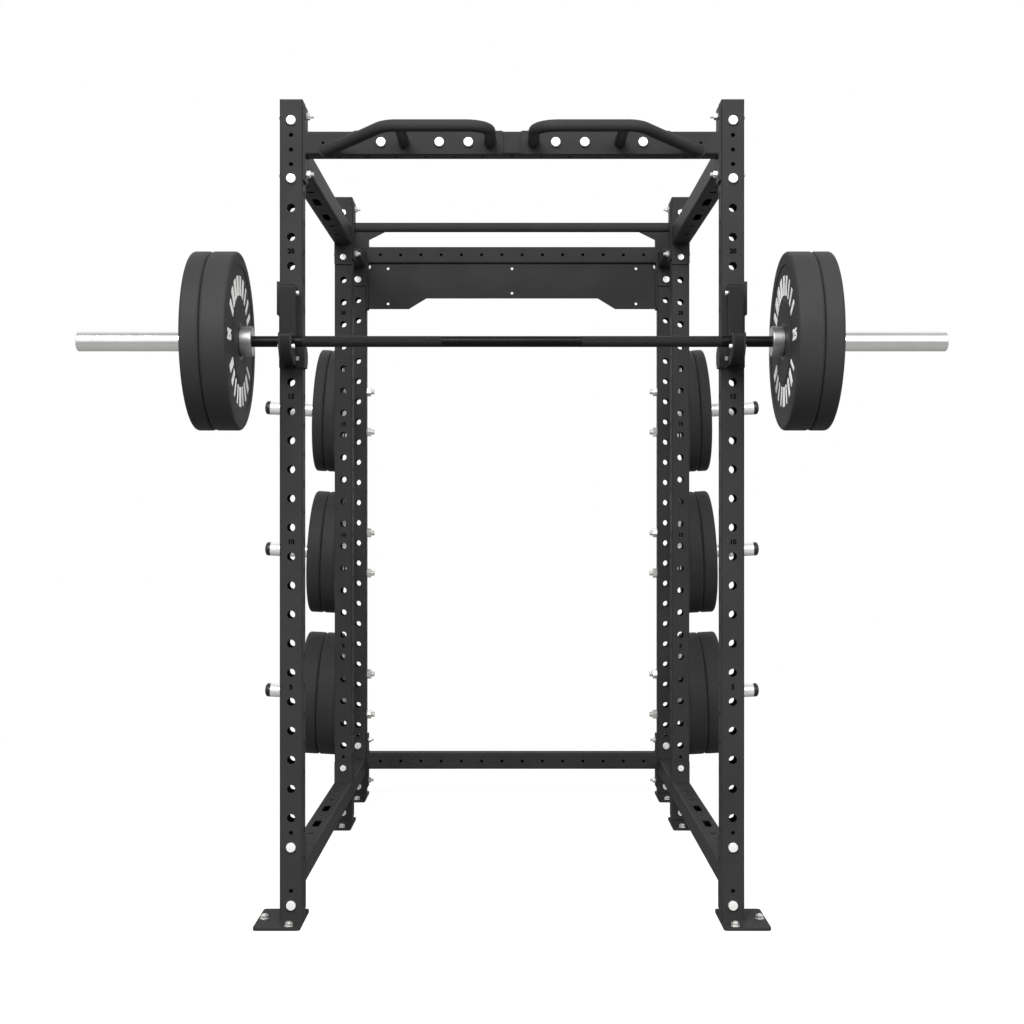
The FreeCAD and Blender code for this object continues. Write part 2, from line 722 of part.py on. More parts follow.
def cup_bolts():
    """Bolts through the hooks, with low heads outside and round barrel nuts inside."""
    length = cup_width + cup_bolt_nut_height
    one = bolt(cup_bolt_radius, cup_bolt_head_radius, cup_bolt_head_height, length)
    one = one.fuse(cylinder(cup_bolt_head_radius, Vector(0, 0, cup_width), Z, cup_bolt_nut_height))
    one = turned(one, -X)
    return both_sides([moved(one, x=upright_x + cup_width / 2, y=y, z=z) for y, z in cup_bolt_spots()])


# ---- Storage pegs ------------------------------------------------------------------------------

def peg_places():
    """Where each right-hand peg's centre line leaves the outer face of its base plate."""
    x = cage_width / 2 + flange_thickness
    y = upright_fronts["rear"] + tube / 2
    return {level: Vector(x, y, height) for level, height in peg_heights.items()}


def on_peg(shape, level, distance=0.0):
    """A shape built along +Z, laid along a peg at a distance from its base plate."""
    tilt = math.radians(peg_tilt)
    direction = Vector(math.cos(tilt), 0, math.sin(tilt))
    spot = peg_places()[level] + direction * distance
    return moved(turned(shape, direction), spot.x, spot.y, spot.z)


def peg_base(level):
    plate = turned(flange(hole_radius), X)
    plate.Placement = Placement(Vector(cage_width / 2, upright_fronts["rear"] + tube / 2, peg_heights[level]),
                                Rotation(Y, Z, X, "ZXY"))
    return plate


def peg(level):
    """A hollow peg and its stop collar, cut square to its base plate."""
    under = peg_collar_radius
    tube_shape = ring(sleeve_radius, sleeve_radius - peg_wall, peg_length + under)
    collar = ring(peg_collar_radius, sleeve_radius - peg_wall, peg_collar_length + under)
    whole = on_peg(tube_shape.fuse(collar), level, -under)
    spot = peg_places()[level]
    behind = box((spot.x - 3 * under, spot.x), (spot.y - 2 * under, spot.y + 2 * under),
                 (spot.z - 2 * under, spot.z + 2 * under))
    return whole.cut(behind)


def peg_cap(level):
    """A plastic cap with a domed end, pushed into the peg."""
    cap = end_cap(peg_wall, peg_cap_plug, peg_cap_length)
    rim = [edge for edge in cap.Edges if edge.BoundBox.ZMin > peg_cap_plug + peg_cap_round]
    return on_peg(cap.makeFillet(peg_cap_round, rim), level, peg_length - peg_cap_plug)


def end_cap(wall, plug, thickness):
    """A round plastic cap with its plug, for a tube of the sleeve's outside size."""
    inside = cylinder(sleeve_radius - wall - cap_clearance, Vector(), Z, plug)
    lid = cylinder(sleeve_radius, Vector(0, 0, plug), Z, thickness)
    return inside.fuse(lid)


# ---- Weight plates -----------------------------------------------------------------------------

def plate_disc(thickness):
    """The rubber of a plate, on Z = 0 and up. Both faces have a shallow ring between rim and middle."""
    rim_inner = plate_radius - plate_rim
    lower = [
        (plate_hub_radius, 0),
        (plate_land, 0),
        (plate_land + plate_recess, plate_recess),
        (rim_inner - plate_recess, plate_recess),
        (rim_inner, 0),
        (plate_radius - plate_edge, 0),
        (plate_radius, plate_edge),
    ]
    outline = lower + [(r, thickness - z) for r, z in reversed(lower)]
    corners = [Vector(r, 0, z) for r, z in outline + outline[:1]]
    return Part.Face(Part.makePolygon(corners)).revolve(Vector(), Z, 360)


def plate_hub(thickness):
    """The steel bush moulded into the middle of a plate."""
    return ring(plate_hub_radius, plate_bore, thickness)


def stacked(make, thicknesses):
    """Plates or hubs one after the other along Z."""
    starts = [sum(thicknesses[:index]) for index in range(len(thicknesses))]
    return [moved(make(thickness), z=start) for start, thickness in zip(starts, thicknesses)]


# ---- Barbell -----------------------------------------------------------------------------------

def on_bar(shape, x):
    """A shape built along +Z, laid along the right half of the bar from a distance x."""
    return moved(turned(shape, X), x, bar_y, bar_z)


def bar_shaft():
    return moved(turned(cylinder(shaft_radius, Vector(), Z, 2 * shaft_end_x), X), -shaft_end_x, bar_y, bar_z)


def bar_sleeve():
    """Sleeve and collar in one, bored for the bushes, with a smaller hole through the collar's face."""
    length = sleeve_length - end_cap_thickness
    body = cylinder(sleeve_radius, Vector(), Z, length)
    body = body.fuse(cylinder(collar_radius, Vector(), Z, collar_length))
    return on_bar(body.cut(cylinder(sleeve_bore_radius, Vector(), Z, length)), collar_x)


def bushes():
    bush = ring(sleeve_bore_radius, shaft_radius + running_clearance, bush_length)
    outer_start = shaft_end_x - ring_gap - ring_thickness - ring_gap - bush_length
    return [on_bar(bush, collar_x), on_bar(bush, outer_start)]


def retaining_ring():
    """Spring ring in the end of the shaft, which keeps the sleeve on."""
    return on_bar(ring(ring_radius, shaft_radius, ring_thickness), shaft_end_x - ring_gap - ring_thickness)


def sleeve_cap():
    plug = shaft_end_inset / 2
    wall = sleeve_radius - sleeve_bore_radius
    return on_bar(end_cap(wall, plug, end_cap_thickness), bar_end_x - end_cap_thickness - plug)


# ---- All the pieces by name --------------------------------------------------------------------

nodes = {}


def add_pair(name, shapes):
    """One node on each side, from the solids of the right-hand one."""
    nodes["right_" + name] = shapes
    nodes["left_" + name] = [mirrored(shape) for shape in shapes]


centre_line = {place: front + tube / 2 for place, front in upright_fronts.items()}
plain_upright = upright()
upright_shapes = {"front": plain_upright, "middle": plain_upright, "rear": rear_upright()}
for place, shape in upright_shapes.items():
    add_pair(place + "_upright", [moved(shape, x=upright_x, y=centre_line[place])])

nodes["foot_plates"] = both_sides([moved(foot(), upright_x, y) for y in centre_line.values()])
nodes["upright_caps"] = both_sides([moved(upright_cap(), upright_x, y) for y in centre_line.values()])
nodes["anchor_bolts"] = both_sides([moved(anchor(), upright_x + spot.x, y + spot.y)
                                    for y in centre_line.values() for spot in anchor_spots()])

nodes["top_front_beam"] = [top_front_beam()]
nodes["top_rear_beam"] = [rear_beam(cross_top_z, sign_depth_end + tube / 2)]
nodes["bottom_rear_beam"] = [rear_beam(cross_bottom_z)]
nodes["sign_plate"] = [sign_plate()]
nodes["pullup_bar"] = [pullup_bar()]
for level, height, facing in (("top", side_top_z, -1), ("bottom", side_bottom_z, 1)):
    add_pair(level + "_side_beam", [long_side_beam(height, facing)])
    add_pair(level + "_storage_link", [side_beam(storage_bay, upright_fronts["middle"] + tube, height)])

frame_bolts, frame_nuts = frame_fasteners()
peg_bolts, peg_nuts = peg_fasteners()
nodes["frame_bolts"] = frame_bolts + peg_bolts
nodes["frame_nuts"] = frame_nuts + peg_nuts
nodes["cross_bolts"], nodes["cross_nuts"] = cross_fasteners()
add_pair("grip_wing", [grip_wing()])
nodes["grip_bolts"] = grip_bolts()

add_pair("cup_bracket", [cup_bracket()])
nodes["cup_cores"] = both_sides([cup_core()])
nodes["cup_bolts"] = cup_bolts()

nodes["peg_base_plates"] = both_sides([peg_base(level) for level in stored_plates])
nodes["storage_pegs"] = both_sides([peg(level) for level in stored_plates])
nodes["peg_caps"] = both_sides([peg_cap(level) for level in stored_plates])
for level, thicknesses in stored_plates.items():
    for name, make in (("plates", plate_disc), ("plate_hubs", plate_hub)):
        pair = [on_peg(piece, level, peg_collar_length) for piece in stacked(make, thicknesses)]
        add_pair("stored_" + level + "_" + name, pair)

nodes["bar_shaft"] = [bar_shaft()]
nodes["bar_retaining_rings"] = both_sides([retaining_ring()])
add_pair("bar_sleeve", [bar_sleeve()])
add_pair("sleeve_bushes", bushes())
add_pair("sleeve_cap", [sleeve_cap()])
for name, make in (("bar_plates", plate_disc), ("bar_plate_hubs", plate_hub)):
    add_pair(name, [on_bar(piece, collar_x + collar_length) for piece in stacked(make, bar_plates)])

os.makedirs("parts", exist_ok=True)
for name, solids in nodes.items():
    shape = solids[0] if len(solids) == 1 else Part.makeCompound(solids)
    shape.exportStep("parts/" + name + ".step")
print(len(nodes), "nodes,", sum(len(solids) for solids in nodes.values()), "solids")
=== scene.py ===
# %% [markdown]
# # A power cage, dressed for the camera
#
# The cage stands in a fixed frame: an exact model whose pieces sit where they sit on the real
# thing. Nothing in it is moved here. Each cell takes one piece or one finish of the cage, says
# what it is, and gives it its edges, holes, welds and paint. Lengths are metres and +Z is up.

# %% Load the fixed frame
import json
import math

import bmesh
import bpy
from mathutils import Matrix, Vector

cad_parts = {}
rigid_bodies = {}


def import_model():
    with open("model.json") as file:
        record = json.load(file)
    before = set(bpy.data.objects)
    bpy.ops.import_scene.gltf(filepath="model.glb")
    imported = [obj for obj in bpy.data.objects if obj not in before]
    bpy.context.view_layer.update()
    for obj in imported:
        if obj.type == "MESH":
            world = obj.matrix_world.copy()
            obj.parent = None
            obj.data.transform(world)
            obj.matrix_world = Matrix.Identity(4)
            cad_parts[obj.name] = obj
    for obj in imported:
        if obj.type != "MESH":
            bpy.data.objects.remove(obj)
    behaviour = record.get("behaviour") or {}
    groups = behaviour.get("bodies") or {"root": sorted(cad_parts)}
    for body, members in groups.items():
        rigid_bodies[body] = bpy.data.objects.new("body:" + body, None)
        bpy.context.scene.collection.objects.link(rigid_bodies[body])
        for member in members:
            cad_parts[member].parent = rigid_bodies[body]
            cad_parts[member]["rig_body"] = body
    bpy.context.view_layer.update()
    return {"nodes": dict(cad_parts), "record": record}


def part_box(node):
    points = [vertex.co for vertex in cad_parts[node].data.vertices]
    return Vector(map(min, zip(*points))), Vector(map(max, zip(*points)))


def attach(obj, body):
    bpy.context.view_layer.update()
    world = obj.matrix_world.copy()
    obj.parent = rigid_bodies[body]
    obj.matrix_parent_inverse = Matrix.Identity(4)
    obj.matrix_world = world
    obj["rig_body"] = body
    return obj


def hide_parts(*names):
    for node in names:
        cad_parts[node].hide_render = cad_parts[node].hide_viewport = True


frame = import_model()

print("pieces in the frame:", len(frame["nodes"]))

# %% [markdown]
# ## Sizes that many pieces share
#
# A cage is bought by a few numbers: the tube it is made of and the pitch of its holes. The tube
# and the places of the uprights are read from the frame. The hole rows are a rule, a first hole
# and a pitch, so a hole is found by its row number and no height is typed twice.

# %% Read the tube and name the hole rows
SIDES = ((-1, "left"), (1, "right"))
upright_low, upright_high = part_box("right_front_upright")
tube = upright_high.x - upright_low.x
tube_wall = 0.003
tube_corner = 0.0062
tube_top = upright_high.z
tube_foot = upright_low.z
upright_x = (upright_low.x + upright_high.x) / 2
inner_x = upright_low.x
depths = {place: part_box("right_" + place + "_upright")[0].y for place in ("front", "middle", "rear")}

pitch = 0.075
first_hole = 0.05
pin_hole = 0.0105
pilot_hole = 0.0055
bottom_row, top_row, last_row = 1, 26, 27
flange_thick = 0.006
side_heights = {"bottom": first_hole + bottom_row * pitch, "top": first_hole + top_row * pitch}
cross_heights = {level: height + 0.0175 for level, height in side_heights.items()}


def row_height(row):
    """Height of a hole row above the floor. Halves lie midway between two rows."""
    return first_hole + row * pitch


print("tube", round(tube, 4), "at x", round(upright_x, 4), "front faces at", depths)

# %% [markdown]
# ## Wiring a node tree
#
# Materials and Geometry Nodes are both trees of small steps. Writing each link by hand takes
# three lines, so two helpers do it. The first adds a step and fills its sockets: a plain value
# is set and another step's output is linked. The second starts a tree with named inputs. The
# small ones after them stand for the steps that are needed most.

# %% Helpers for node trees
def add_step(tree, kind, sockets=None, **settings):
    """Adds one node. A socket takes a value, another node's output, or a list of outputs."""
    step = tree.nodes.new(kind)
    for name, value in settings.items():
        setattr(step, name, value)
    for name, value in (sockets or {}).items():
        if isinstance(value, bpy.types.NodeSocket):
            tree.links.new(value, step.inputs[name])
        elif isinstance(value, list):
            for output in reversed(value):
                tree.links.new(output, step.inputs[name])
        else:
            step.inputs[name].default_value = value
    return step


def start_tree(name, kind, inputs, outputs):
    """A node group, its inputs and its exits. An input gives its first value or, with none, its type."""
    tree = bpy.data.node_groups.new(name, kind)
    for label, value in inputs.items():
        socket = {float: "Float", int: "Int", tuple: "Vector"}.get(type(value), value)
        made = tree.interface.new_socket(label, in_out="INPUT", socket_type="NodeSocket" + socket)
        if socket != value:
            made.default_value = value
    given = "NodeSocketGeometry" if kind == "GeometryNodeTree" else "NodeSocketFloat"
    for label in outputs:
        tree.interface.new_socket(label, in_out="OUTPUT", socket_type=given)
    return tree, tree.nodes.new("NodeGroupInput").outputs, tree.nodes.new("NodeGroupOutput").inputs


def connect(tree, sockets, **outputs):
    """Links outputs to sockets, each called by its name with _ for a space."""
    for label, output in outputs.items():
        tree.links.new(output, sockets[label.replace("_", " ")])


def maths(tree, operation, first, second=0.0):
    """One arithmetic step on numbers."""
    return add_step(tree, "ShaderNodeMath", {0: first, 1: second}, operation=operation).outputs[0]


def object_place(tree):
    """Where a surface point lies on its own piece, in metres."""
    return add_step(tree, "ShaderNodeTexCoord").outputs["Object"]


def noise(tree, place, scale, detail, **sockets):
    """Cloudy values round 0.5."""
    sockets.update({"Vector": place, "Scale": scale, "Detail": detail})
    return add_step(tree, "ShaderNodeTexNoise", sockets).outputs["Fac"]


def ramp(tree, value, start, end, low=0.0, high=1.0):
    """Goes from low to high while the value goes from start to end, and no further."""
    return add_step(tree, "ShaderNodeMapRange", {
        "Value": value, "From Min": start, "From Max": end, "To Min": low, "To Max": high}).outputs["Result"]


# %% [markdown]
# ## Surface effects that several finishes share
#
# Powder coat, rubber and bare steel look different because light meets small relief. Three
# shader groups make that relief from noise. They read Object coordinates, so the grain has one
# size in metres on every piece. They give out only masks, roughness and height. The shaders
# stay in the materials.

# %% Shader group: grain and mottling
def make_grain():
    tree, size, done = start_tree(
        "Fine grain", "ShaderNodeTree",
        {"Grain Size": 0.0012, "Mottle Size": 0.12, "Roughness": 0.5, "Roughness Spread": 0.1},
        ["Mottle", "Grain", "Roughness"])
    place = object_place(tree)
    grain = noise(tree, place, maths(tree, "DIVIDE", 1.0, size["Grain Size"]), 2.0, Roughness=0.6)
    mottle = noise(tree, place, maths(tree, "DIVIDE", 1.0, size["Mottle Size"]), 4.0, Roughness=0.55)
    spread = maths(tree, "MULTIPLY", maths(tree, "SUBTRACT", grain, 0.5), size["Roughness Spread"])
    connect(tree, done, Mottle=mottle, Grain=grain,
            Roughness=maths(tree, "ADD", size["Roughness"], spread))
    return tree


grain_group = make_grain()
print("grain group:", len(grain_group.nodes), "steps")

# %% Shader group: turned or drawn lines in bare metal
SMUDGES_PER_METRE = 22.0


def make_draw_lines():
    tree, size, done = start_tree("Drawn lines", "ShaderNodeTree", {
        "Along": (1.0, 0.0, 0.0), "Line Size": 0.0006}, ["Lines", "Smudge"])
    place = object_place(tree)
    along = add_step(tree, "ShaderNodeVectorMath", {0: place, 1: size["Along"]},
                     operation="DOT_PRODUCT").outputs["Value"]
    lines = add_step(tree, "ShaderNodeTexNoise", {
        "W": maths(tree, "DIVIDE", along, size["Line Size"]), "Scale": 1.0, "Detail": 3.0},
        noise_dimensions="1D").outputs["Fac"]
    connect(tree, done, Lines=lines, Smudge=noise(tree, place, SMUDGES_PER_METRE, 3.0))
    return tree


draw_lines_group = make_draw_lines()

# %% Shader group: dust on faces that look up
def make_dust():
    tree, size, done = start_tree("Settled dust", "ShaderNodeTree", {
        "Amount": 0.3, "Patch Size": 0.05}, ["Dust"])
    geometry = add_step(tree, "ShaderNodeNewGeometry")
    up = add_step(tree, "ShaderNodeSeparateXYZ", {0: geometry.outputs["Normal"]}).outputs["Z"]
    flat = ramp(tree, up, 0.55, 0.98)
    patches = noise(tree, object_place(tree), maths(tree, "DIVIDE", 1.0, size["Patch Size"]), 5.0)
    dust = maths(tree, "MULTIPLY", maths(tree, "MULTIPLY", flat, patches), size["Amount"])
    connect(tree, done, Dust=dust)
    return tree


dust_group = make_dust()

# %% [markdown]
# ## Finishes
#
# A coated finish is one dark colour that drifts a little, so two shades are mixed by the
# mottling. Its grain goes to a Bump step and to the roughness. A number that is the same all
# over, such as how metallic it is, is set on the shader's own socket.

# %% Helpers for materials
def srgb(red, green, blue):
    """A colour picked on screen, 0 to 255, as the linear values that shaders use."""
    def linear(value):
        value /= 255
        return value / 12.92 if value <= 0.04045 else ((value + 0.055) / 1.055) ** 2.4
    return (linear(red), linear(green), linear(blue), 1.0)


def start_material(name, **sockets):
    """An empty material with a Principled shader whose plain sockets are set."""
    material = bpy.data.materials.new(name)
    material.use_nodes = True
    tree = material.node_tree
    shader = tree.nodes["Principled BSDF"]
    for label, value in sockets.items():
        shader.inputs[label.replace("_", " ")].default_value = value
    return material, tree, shader


def place_group(tree, group, **values):
    """A shared effect with its own numbers. Returns what it gives out."""
    sockets = {label.replace("_", " "): value for label, value in values.items()}
    return add_step(tree, "ShaderNodeGroup", sockets, node_tree=group).outputs


def mix_colours(tree, share, first, second):
    """The first colour where the share is 0, the second where it is 1."""
    return add_step(tree, "ShaderNodeMix", {0: share, 6: first, 7: second}, data_type="RGBA").outputs[2]


def bump(tree, shader, height, strength, distance):
    """Relief of a height in metres that the light shows, without moving the surface."""
    relief = add_step(tree, "ShaderNodeBump", {"Height": height, "Strength": strength, "Distance": distance})
    connect(tree, shader.inputs, Normal=relief.outputs["Normal"])


# %% Coated and moulded finishes
def coated(name, dark, light, grain_size, roughness, relief, dust=0.0, specular=0.5, painted_glow=0.0):
    """A coating or a moulded surface: two shades, fine grain, a little dust on top faces and any painted
    glow.
    """
    material, tree, shader = start_material(name, Specular_IOR_Level=specular, Emission_Strength=painted_glow)
    grain = place_group(tree, grain_group, Grain_Size=grain_size, Mottle_Size=0.12,
                        Roughness=roughness, Roughness_Spread=0.18)
    colour = mix_colours(tree, grain["Mottle"], dark, light)
    if dust:
        settled = place_group(tree, dust_group, Amount=dust)
        colour = mix_colours(tree, settled["Dust"], colour, srgb(120, 118, 114))
    connect(tree, shader.inputs, Base_Color=colour, Roughness=grain["Roughness"])
    if painted_glow:
        connect(tree, shader.inputs, Emission_Color=colour)
    bump(tree, shader, grain["Grain"], 0.35, relief)
    return material


powder_coat = coated("Black powder coat", srgb(47, 47, 48), srgb(59, 59, 60), 0.0011, 0.5, 0.00012,
                     dust=0.02, specular=0.02)
plate_rubber = coated("Moulded rubber", srgb(45, 45, 45), srgb(58, 58, 58), 0.0016, 0.62, 0.00018,
                      specular=0.12)
cup_plastic = coated("Wear plastic", srgb(24, 24, 25), srgb(34, 34, 35), 0.0009, 0.45, 0.00006, specular=0.12)
cap_plastic = coated("Cap plastic", srgb(22, 22, 23), srgb(32, 32, 33), 0.0008, 0.42, 0.00008, dust=0.1,
                     specular=0.4)
# The marks' faint glow is painted light that brightens them where the lamps reach them poorly.
white_marks_painted_light = coated("White moulded marks", srgb(232, 232, 230), srgb(250, 250, 248), 0.0012, 0.55, 0.00008,
                      painted_glow=0.16)
# Black figures: painted shade that stands for the dark inside the cut numbers.
painted_cut_shade = coated("Numbers, painted cut shade", srgb(2, 2, 2), srgb(6, 6, 6), 0.0007, 0.8, 0.00008, specular=0.0)

# %% Bare metal finishes
def bare_metal(name, dark, light, roughness, line_size, along, relief=0.00002, metallic=1.0):
    """Plated or turned steel: fine lines one way, and smudges that change how it shines."""
    material, tree, shader = start_material(name, Metallic=metallic)
    lines = place_group(tree, draw_lines_group, Along=along, Line_Size=line_size)
    shine = maths(tree, "ADD", maths(tree, "MULTIPLY", lines["Smudge"], 0.16),
                  maths(tree, "MULTIPLY", lines["Lines"], 0.08))
    connect(tree, shader.inputs, Base_Color=mix_colours(tree, lines["Smudge"], dark, light),
            Roughness=maths(tree, "ADD", shine, roughness - 0.12))
    bump(tree, shader, lines["Lines"], 0.25, relief)
    return material


chrome = bare_metal("Hard chrome", srgb(222, 222, 221), srgb(240, 239, 238), 0.16, 0.0005, (1.0, 0.0, 0.0))
zinc = bare_metal("Bright zinc", srgb(214, 213, 211), srgb(240, 239, 237), 0.3, 0.0009, (0.4, 0.3, 1.0),
                  metallic=0.55)
collar_steel = bare_metal("Brushed collar steel", srgb(150, 150, 151), srgb(182, 182, 183), 0.36, 0.0004,
                          (1.0, 0.0, 0.0), 0.00004)
hub_steel = bare_metal("Turned hub steel", srgb(44, 45, 47), srgb(66, 67, 69), 0.5, 0.0007, (0.0, 0.7, 0.7))
bright_plate = bare_metal("Bright plated steel", srgb(236, 236, 235), srgb(250, 250, 249), 0.26, 0.0006,
                          (1.0, 0.0, 0.0), metallic=0.35)
bush_bronze = bare_metal("Bush bronze", srgb(160, 118, 70), srgb(190, 146, 92), 0.3, 0.0005, (1.0, 0.0, 0.0))
anchor_zinc = bare_metal("Dull zinc", srgb(200, 199, 196), srgb(244, 243, 240), 0.24, 0.0009, (0.3, 0.4, 1.0),
                         metallic=0.8)
ring_steel = bare_metal("Spring steel", srgb(92, 94, 98), srgb(120, 122, 126), 0.35, 0.0006, (0.0, 1.0, 0.0))

# %% [markdown]
# ## The barbell shaft's finish
#
# A barbell is black oxide over steel, and most of it is knurled: a wheel presses diamonds into
# it so that hands grip. The lines cross at an angle round the bar. Modelling each diamond would
# take a million faces, so the height is worked out in the shader: the angle round the bar and
# the distance along it make two sets of slanted ridges, and a mask keeps the smooth bands.

# %% Knurled black oxide
shaft_low, shaft_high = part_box("bar_shaft")
bar_y = (shaft_low.y + shaft_high.y) / 2
bar_z = (shaft_low.z + shaft_high.z) / 2
bar_radius = (shaft_high.z - shaft_low.z) / 2


def make_knurl():
    tree, size, done = start_tree("Diamond knurl", "ShaderNodeTree", {
        "Ridges": 56.0, "Pitch": 0.0016, "Smooth Middle": 0.177, "Knurl End": 0.53}, ["Height", "Mask"])
    centred = add_step(tree, "ShaderNodeMapping", {
        "Vector": object_place(tree), "Location": (0.0, -bar_y, -bar_z)})
    xyz = add_step(tree, "ShaderNodeSeparateXYZ", {0: centred.outputs["Vector"]}).outputs
    turn = maths(tree, "MULTIPLY", maths(tree, "ARCTAN2", xyz["Z"], xyz["Y"]), size["Ridges"])
    run = maths(tree, "DIVIDE", maths(tree, "MULTIPLY", xyz["X"], 2 * math.pi), size["Pitch"])
    one_way = maths(tree, "SINE", maths(tree, "ADD", turn, run))
    other_way = maths(tree, "SINE", maths(tree, "SUBTRACT", turn, run))
    diamonds = maths(tree, "MULTIPLY", one_way, other_way)
    reach = maths(tree, "ABSOLUTE", xyz["X"])
    past_middle = maths(tree, "GREATER_THAN", reach, size["Smooth Middle"])
    before_end = maths(tree, "LESS_THAN", reach, size["Knurl End"])
    mask = maths(tree, "MULTIPLY", past_middle, before_end)
    connect(tree, done, Height=maths(tree, "MULTIPLY", diamonds, mask), Mask=mask)
    return tree


def make_bar_oxide():
    material, tree, shader = start_material("Black oxide shaft", Metallic=0.6, Specular_IOR_Level=0.15)
    knurl = place_group(tree, make_knurl())
    grain = place_group(tree, grain_group, Grain_Size=0.0005, Mottle_Size=0.05, Roughness=0.36,
                        Roughness_Spread=0.1)
    smooth = mix_colours(tree, grain["Mottle"], srgb(17, 17, 18), srgb(23, 23, 24))
    pressed = mix_colours(tree, grain["Grain"], srgb(29, 29, 30), srgb(46, 46, 47))
    rougher = maths(tree, "ADD", grain["Roughness"], maths(tree, "MULTIPLY", knurl["Mask"], 0.14))
    connect(tree, shader.inputs, Base_Color=mix_colours(tree, knurl["Mask"], smooth, pressed),
            Roughness=rougher)
    bump(tree, shader, knurl["Height"], 0.6, 0.0003)
    return material


bar_oxide = make_bar_oxide()
print("bar radius", round(bar_radius * 1000, 2), "mm at height", round(bar_z, 3))

# %% [markdown]
# ## Give every carried-over piece its finish
#
# The frame's record names a finish for each of its pieces. The exact pieces whose shape is
# already right keep their mesh and take that finish. The cells after this one put richer pieces
# over those that need more detail.

# %% Finish of each exact piece
finishes = {
    "frame_paint": powder_coat, "zinc": zinc, "chrome": chrome, "bar_oxide": bar_oxide,
    "spring_steel": ring_steel, "bush_bronze": bush_bronze, "hub_steel": hub_steel,
    "plate_rubber": plate_rubber, "black_plastic": cap_plastic,
}
slot_of = {entry["node"]: entry["material_slot"] for entry in frame["record"]["subparts"]}
body_of = {name: piece["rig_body"] for name, piece in frame["nodes"].items()}
for name, piece in frame["nodes"].items():
    piece.data.materials.clear()
    piece.data.materials.append(finishes[slot_of[name]])
print("finishes given:", len(slot_of))

# %% [markdown]
# ## From a node tree to a plain piece
#
# Geometry Nodes draw what repeats. A tree runs as a modifier on a small start mesh, often just
# points. Its inputs are set by their identifiers before anything is evaluated. The result is
# taken as a plain mesh and the modifier is dropped, so the piece can be exported.

# %% Helpers for pieces
def add_object(name, data):
    """A new object in the scene, at the origin."""
    made = bpy.data.objects.new(name, data)
    bpy.context.scene.collection.objects.link(made)
    return made


def mesh_from(name, bm, *materials):
    """Turns an edited mesh into a plain one and lets the edited one go."""
    mesh = bpy.data.meshes.new(name)
    bm.to_mesh(mesh)
    bm.free()
    for material in materials:
        mesh.materials.append(material)
    return mesh


def as_it_shows(piece):
    """The mesh that a piece has with its modifiers, as a plain mesh."""
    return bpy.data.meshes.new_from_object(piece.evaluated_get(bpy.context.evaluated_depsgraph_get()))


def points_mesh(name, points, edges=(), **marks):
    """A mesh of points with named values on them: numbers, flags or directions."""
    mesh = bpy.data.meshes.new(name)
    mesh.from_pydata([tuple(point) for point in points], list(edges), [])
    for label, values in marks.items():
        if not values:
            continue
        first = values[0]
        if isinstance(first, bool):
            kind, field = "BOOLEAN", "value"
        elif isinstance(first, (int, float)):
            kind, field = "FLOAT", "value"
        else:
            kind, field = "FLOAT_VECTOR", "vector"
        layer = mesh.attributes.new(label, kind, "POINT")
        for item, value in zip(layer.data, values):
            setattr(item, field, value)
    return mesh


def grown(name, tree, start, **sizes):
    """Runs a Geometry Nodes tree on a start mesh and leaves its result as a plain mesh."""
    piece = add_object(name, start)
    modifier = piece.modifiers.new("Grow", "NODES")
    modifier.node_group = tree
    for item in tree.interface.items_tree:
        label = item.name.replace(" ", "_")
        if item.item_type == "SOCKET" and item.in_out == "INPUT" and label in sizes:
            modifier[item.identifier] = sizes[label]
    return applied(piece)


def applied(piece):
    """Turns the modifiers that are still live into plain mesh."""
    mesh = as_it_shows(piece)
    piece.modifiers.clear()
    piece.data = mesh
    return piece


def shade(piece):
    """Smooth shading that keeps sharp edges crisp and lets large flat faces stay flat."""
    piece.data.shade_smooth()
    piece.data.set_sharp_from_angle(angle=math.radians(32))
    normals = piece.modifiers.new("Flat faces lead", "WEIGHTED_NORMAL")
    normals.keep_sharp, normals.weight = True, 60
    return applied(piece)


def joined(name, pieces):
    """One mesh out of several pieces. Their materials are kept."""
    bm = bmesh.new()
    materials = []
    for piece in pieces:
        offset = []
        for material in piece.data.materials:
            if material not in materials:
                materials.append(material)
            offset.append(materials.index(material))
        before = len(bm.faces)
        bm.from_mesh(piece.data)
        bm.faces.ensure_lookup_table()
        for face in bm.faces[before:]:
            face.material_index = offset[face.material_index] if offset else 0
    mesh = mesh_from(name, bm, *materials)
    for piece in pieces:
        bpy.data.objects.remove(piece)
    return add_object(name, mesh)


def settle(piece, body, slot, *stands_for):
    """Shades a finished piece, ties it to its body and hides the exact pieces it stands for."""
    shade(piece)
    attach(piece, body)
    if stands_for:
        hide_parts(*stands_for)
    return piece


def laid(piece, matrix):
    """Puts a place into the mesh itself, so the object stays at the origin."""
    piece.data.transform(matrix)
    return piece


def lifted(piece, height):
    """Moves a piece up its own axis."""
    return laid(piece, Matrix.Translation((0, 0, height)))


def stood(piece, x, y, z):
    """Stands a flat drawing upright at a place, so that it is read from the front."""
    return laid(piece, Matrix.Translation((x, y, z)) @ Matrix.Rotation(math.pi / 2, 4, "X"))


def mirrored_copy(piece, name):
    """The same piece on the left side, with its faces turned back outward."""
    mesh = piece.data.copy()
    mesh.transform(Matrix.Scale(-1, 4, (1, 0, 0)))
    mesh.flip_normals()
    return add_object(name, mesh)


# %% [markdown]
# ## A drilled square tube
#
# Uprights and beams are the same steel tube, laser cut with rows of holes. Cutting with boolean
# tools is slow and leaves messy faces. Here each wall is drawn flat, as a rectangle with circles
# in it, filled, given its thickness and stood up. Rounded corner bars join the four walls. The
# start mesh is the drilling plan: each of its points is one hole, with a radius and four flags
# that say which walls it goes through.

# %% Helpers for Geometry Nodes
def vector(tree, x=0.0, y=0.0, z=0.0):
    """Three numbers as one place, size or turn."""
    return add_step(tree, "ShaderNodeCombineXYZ", {"X": x, "Y": y, "Z": z}).outputs["Vector"]


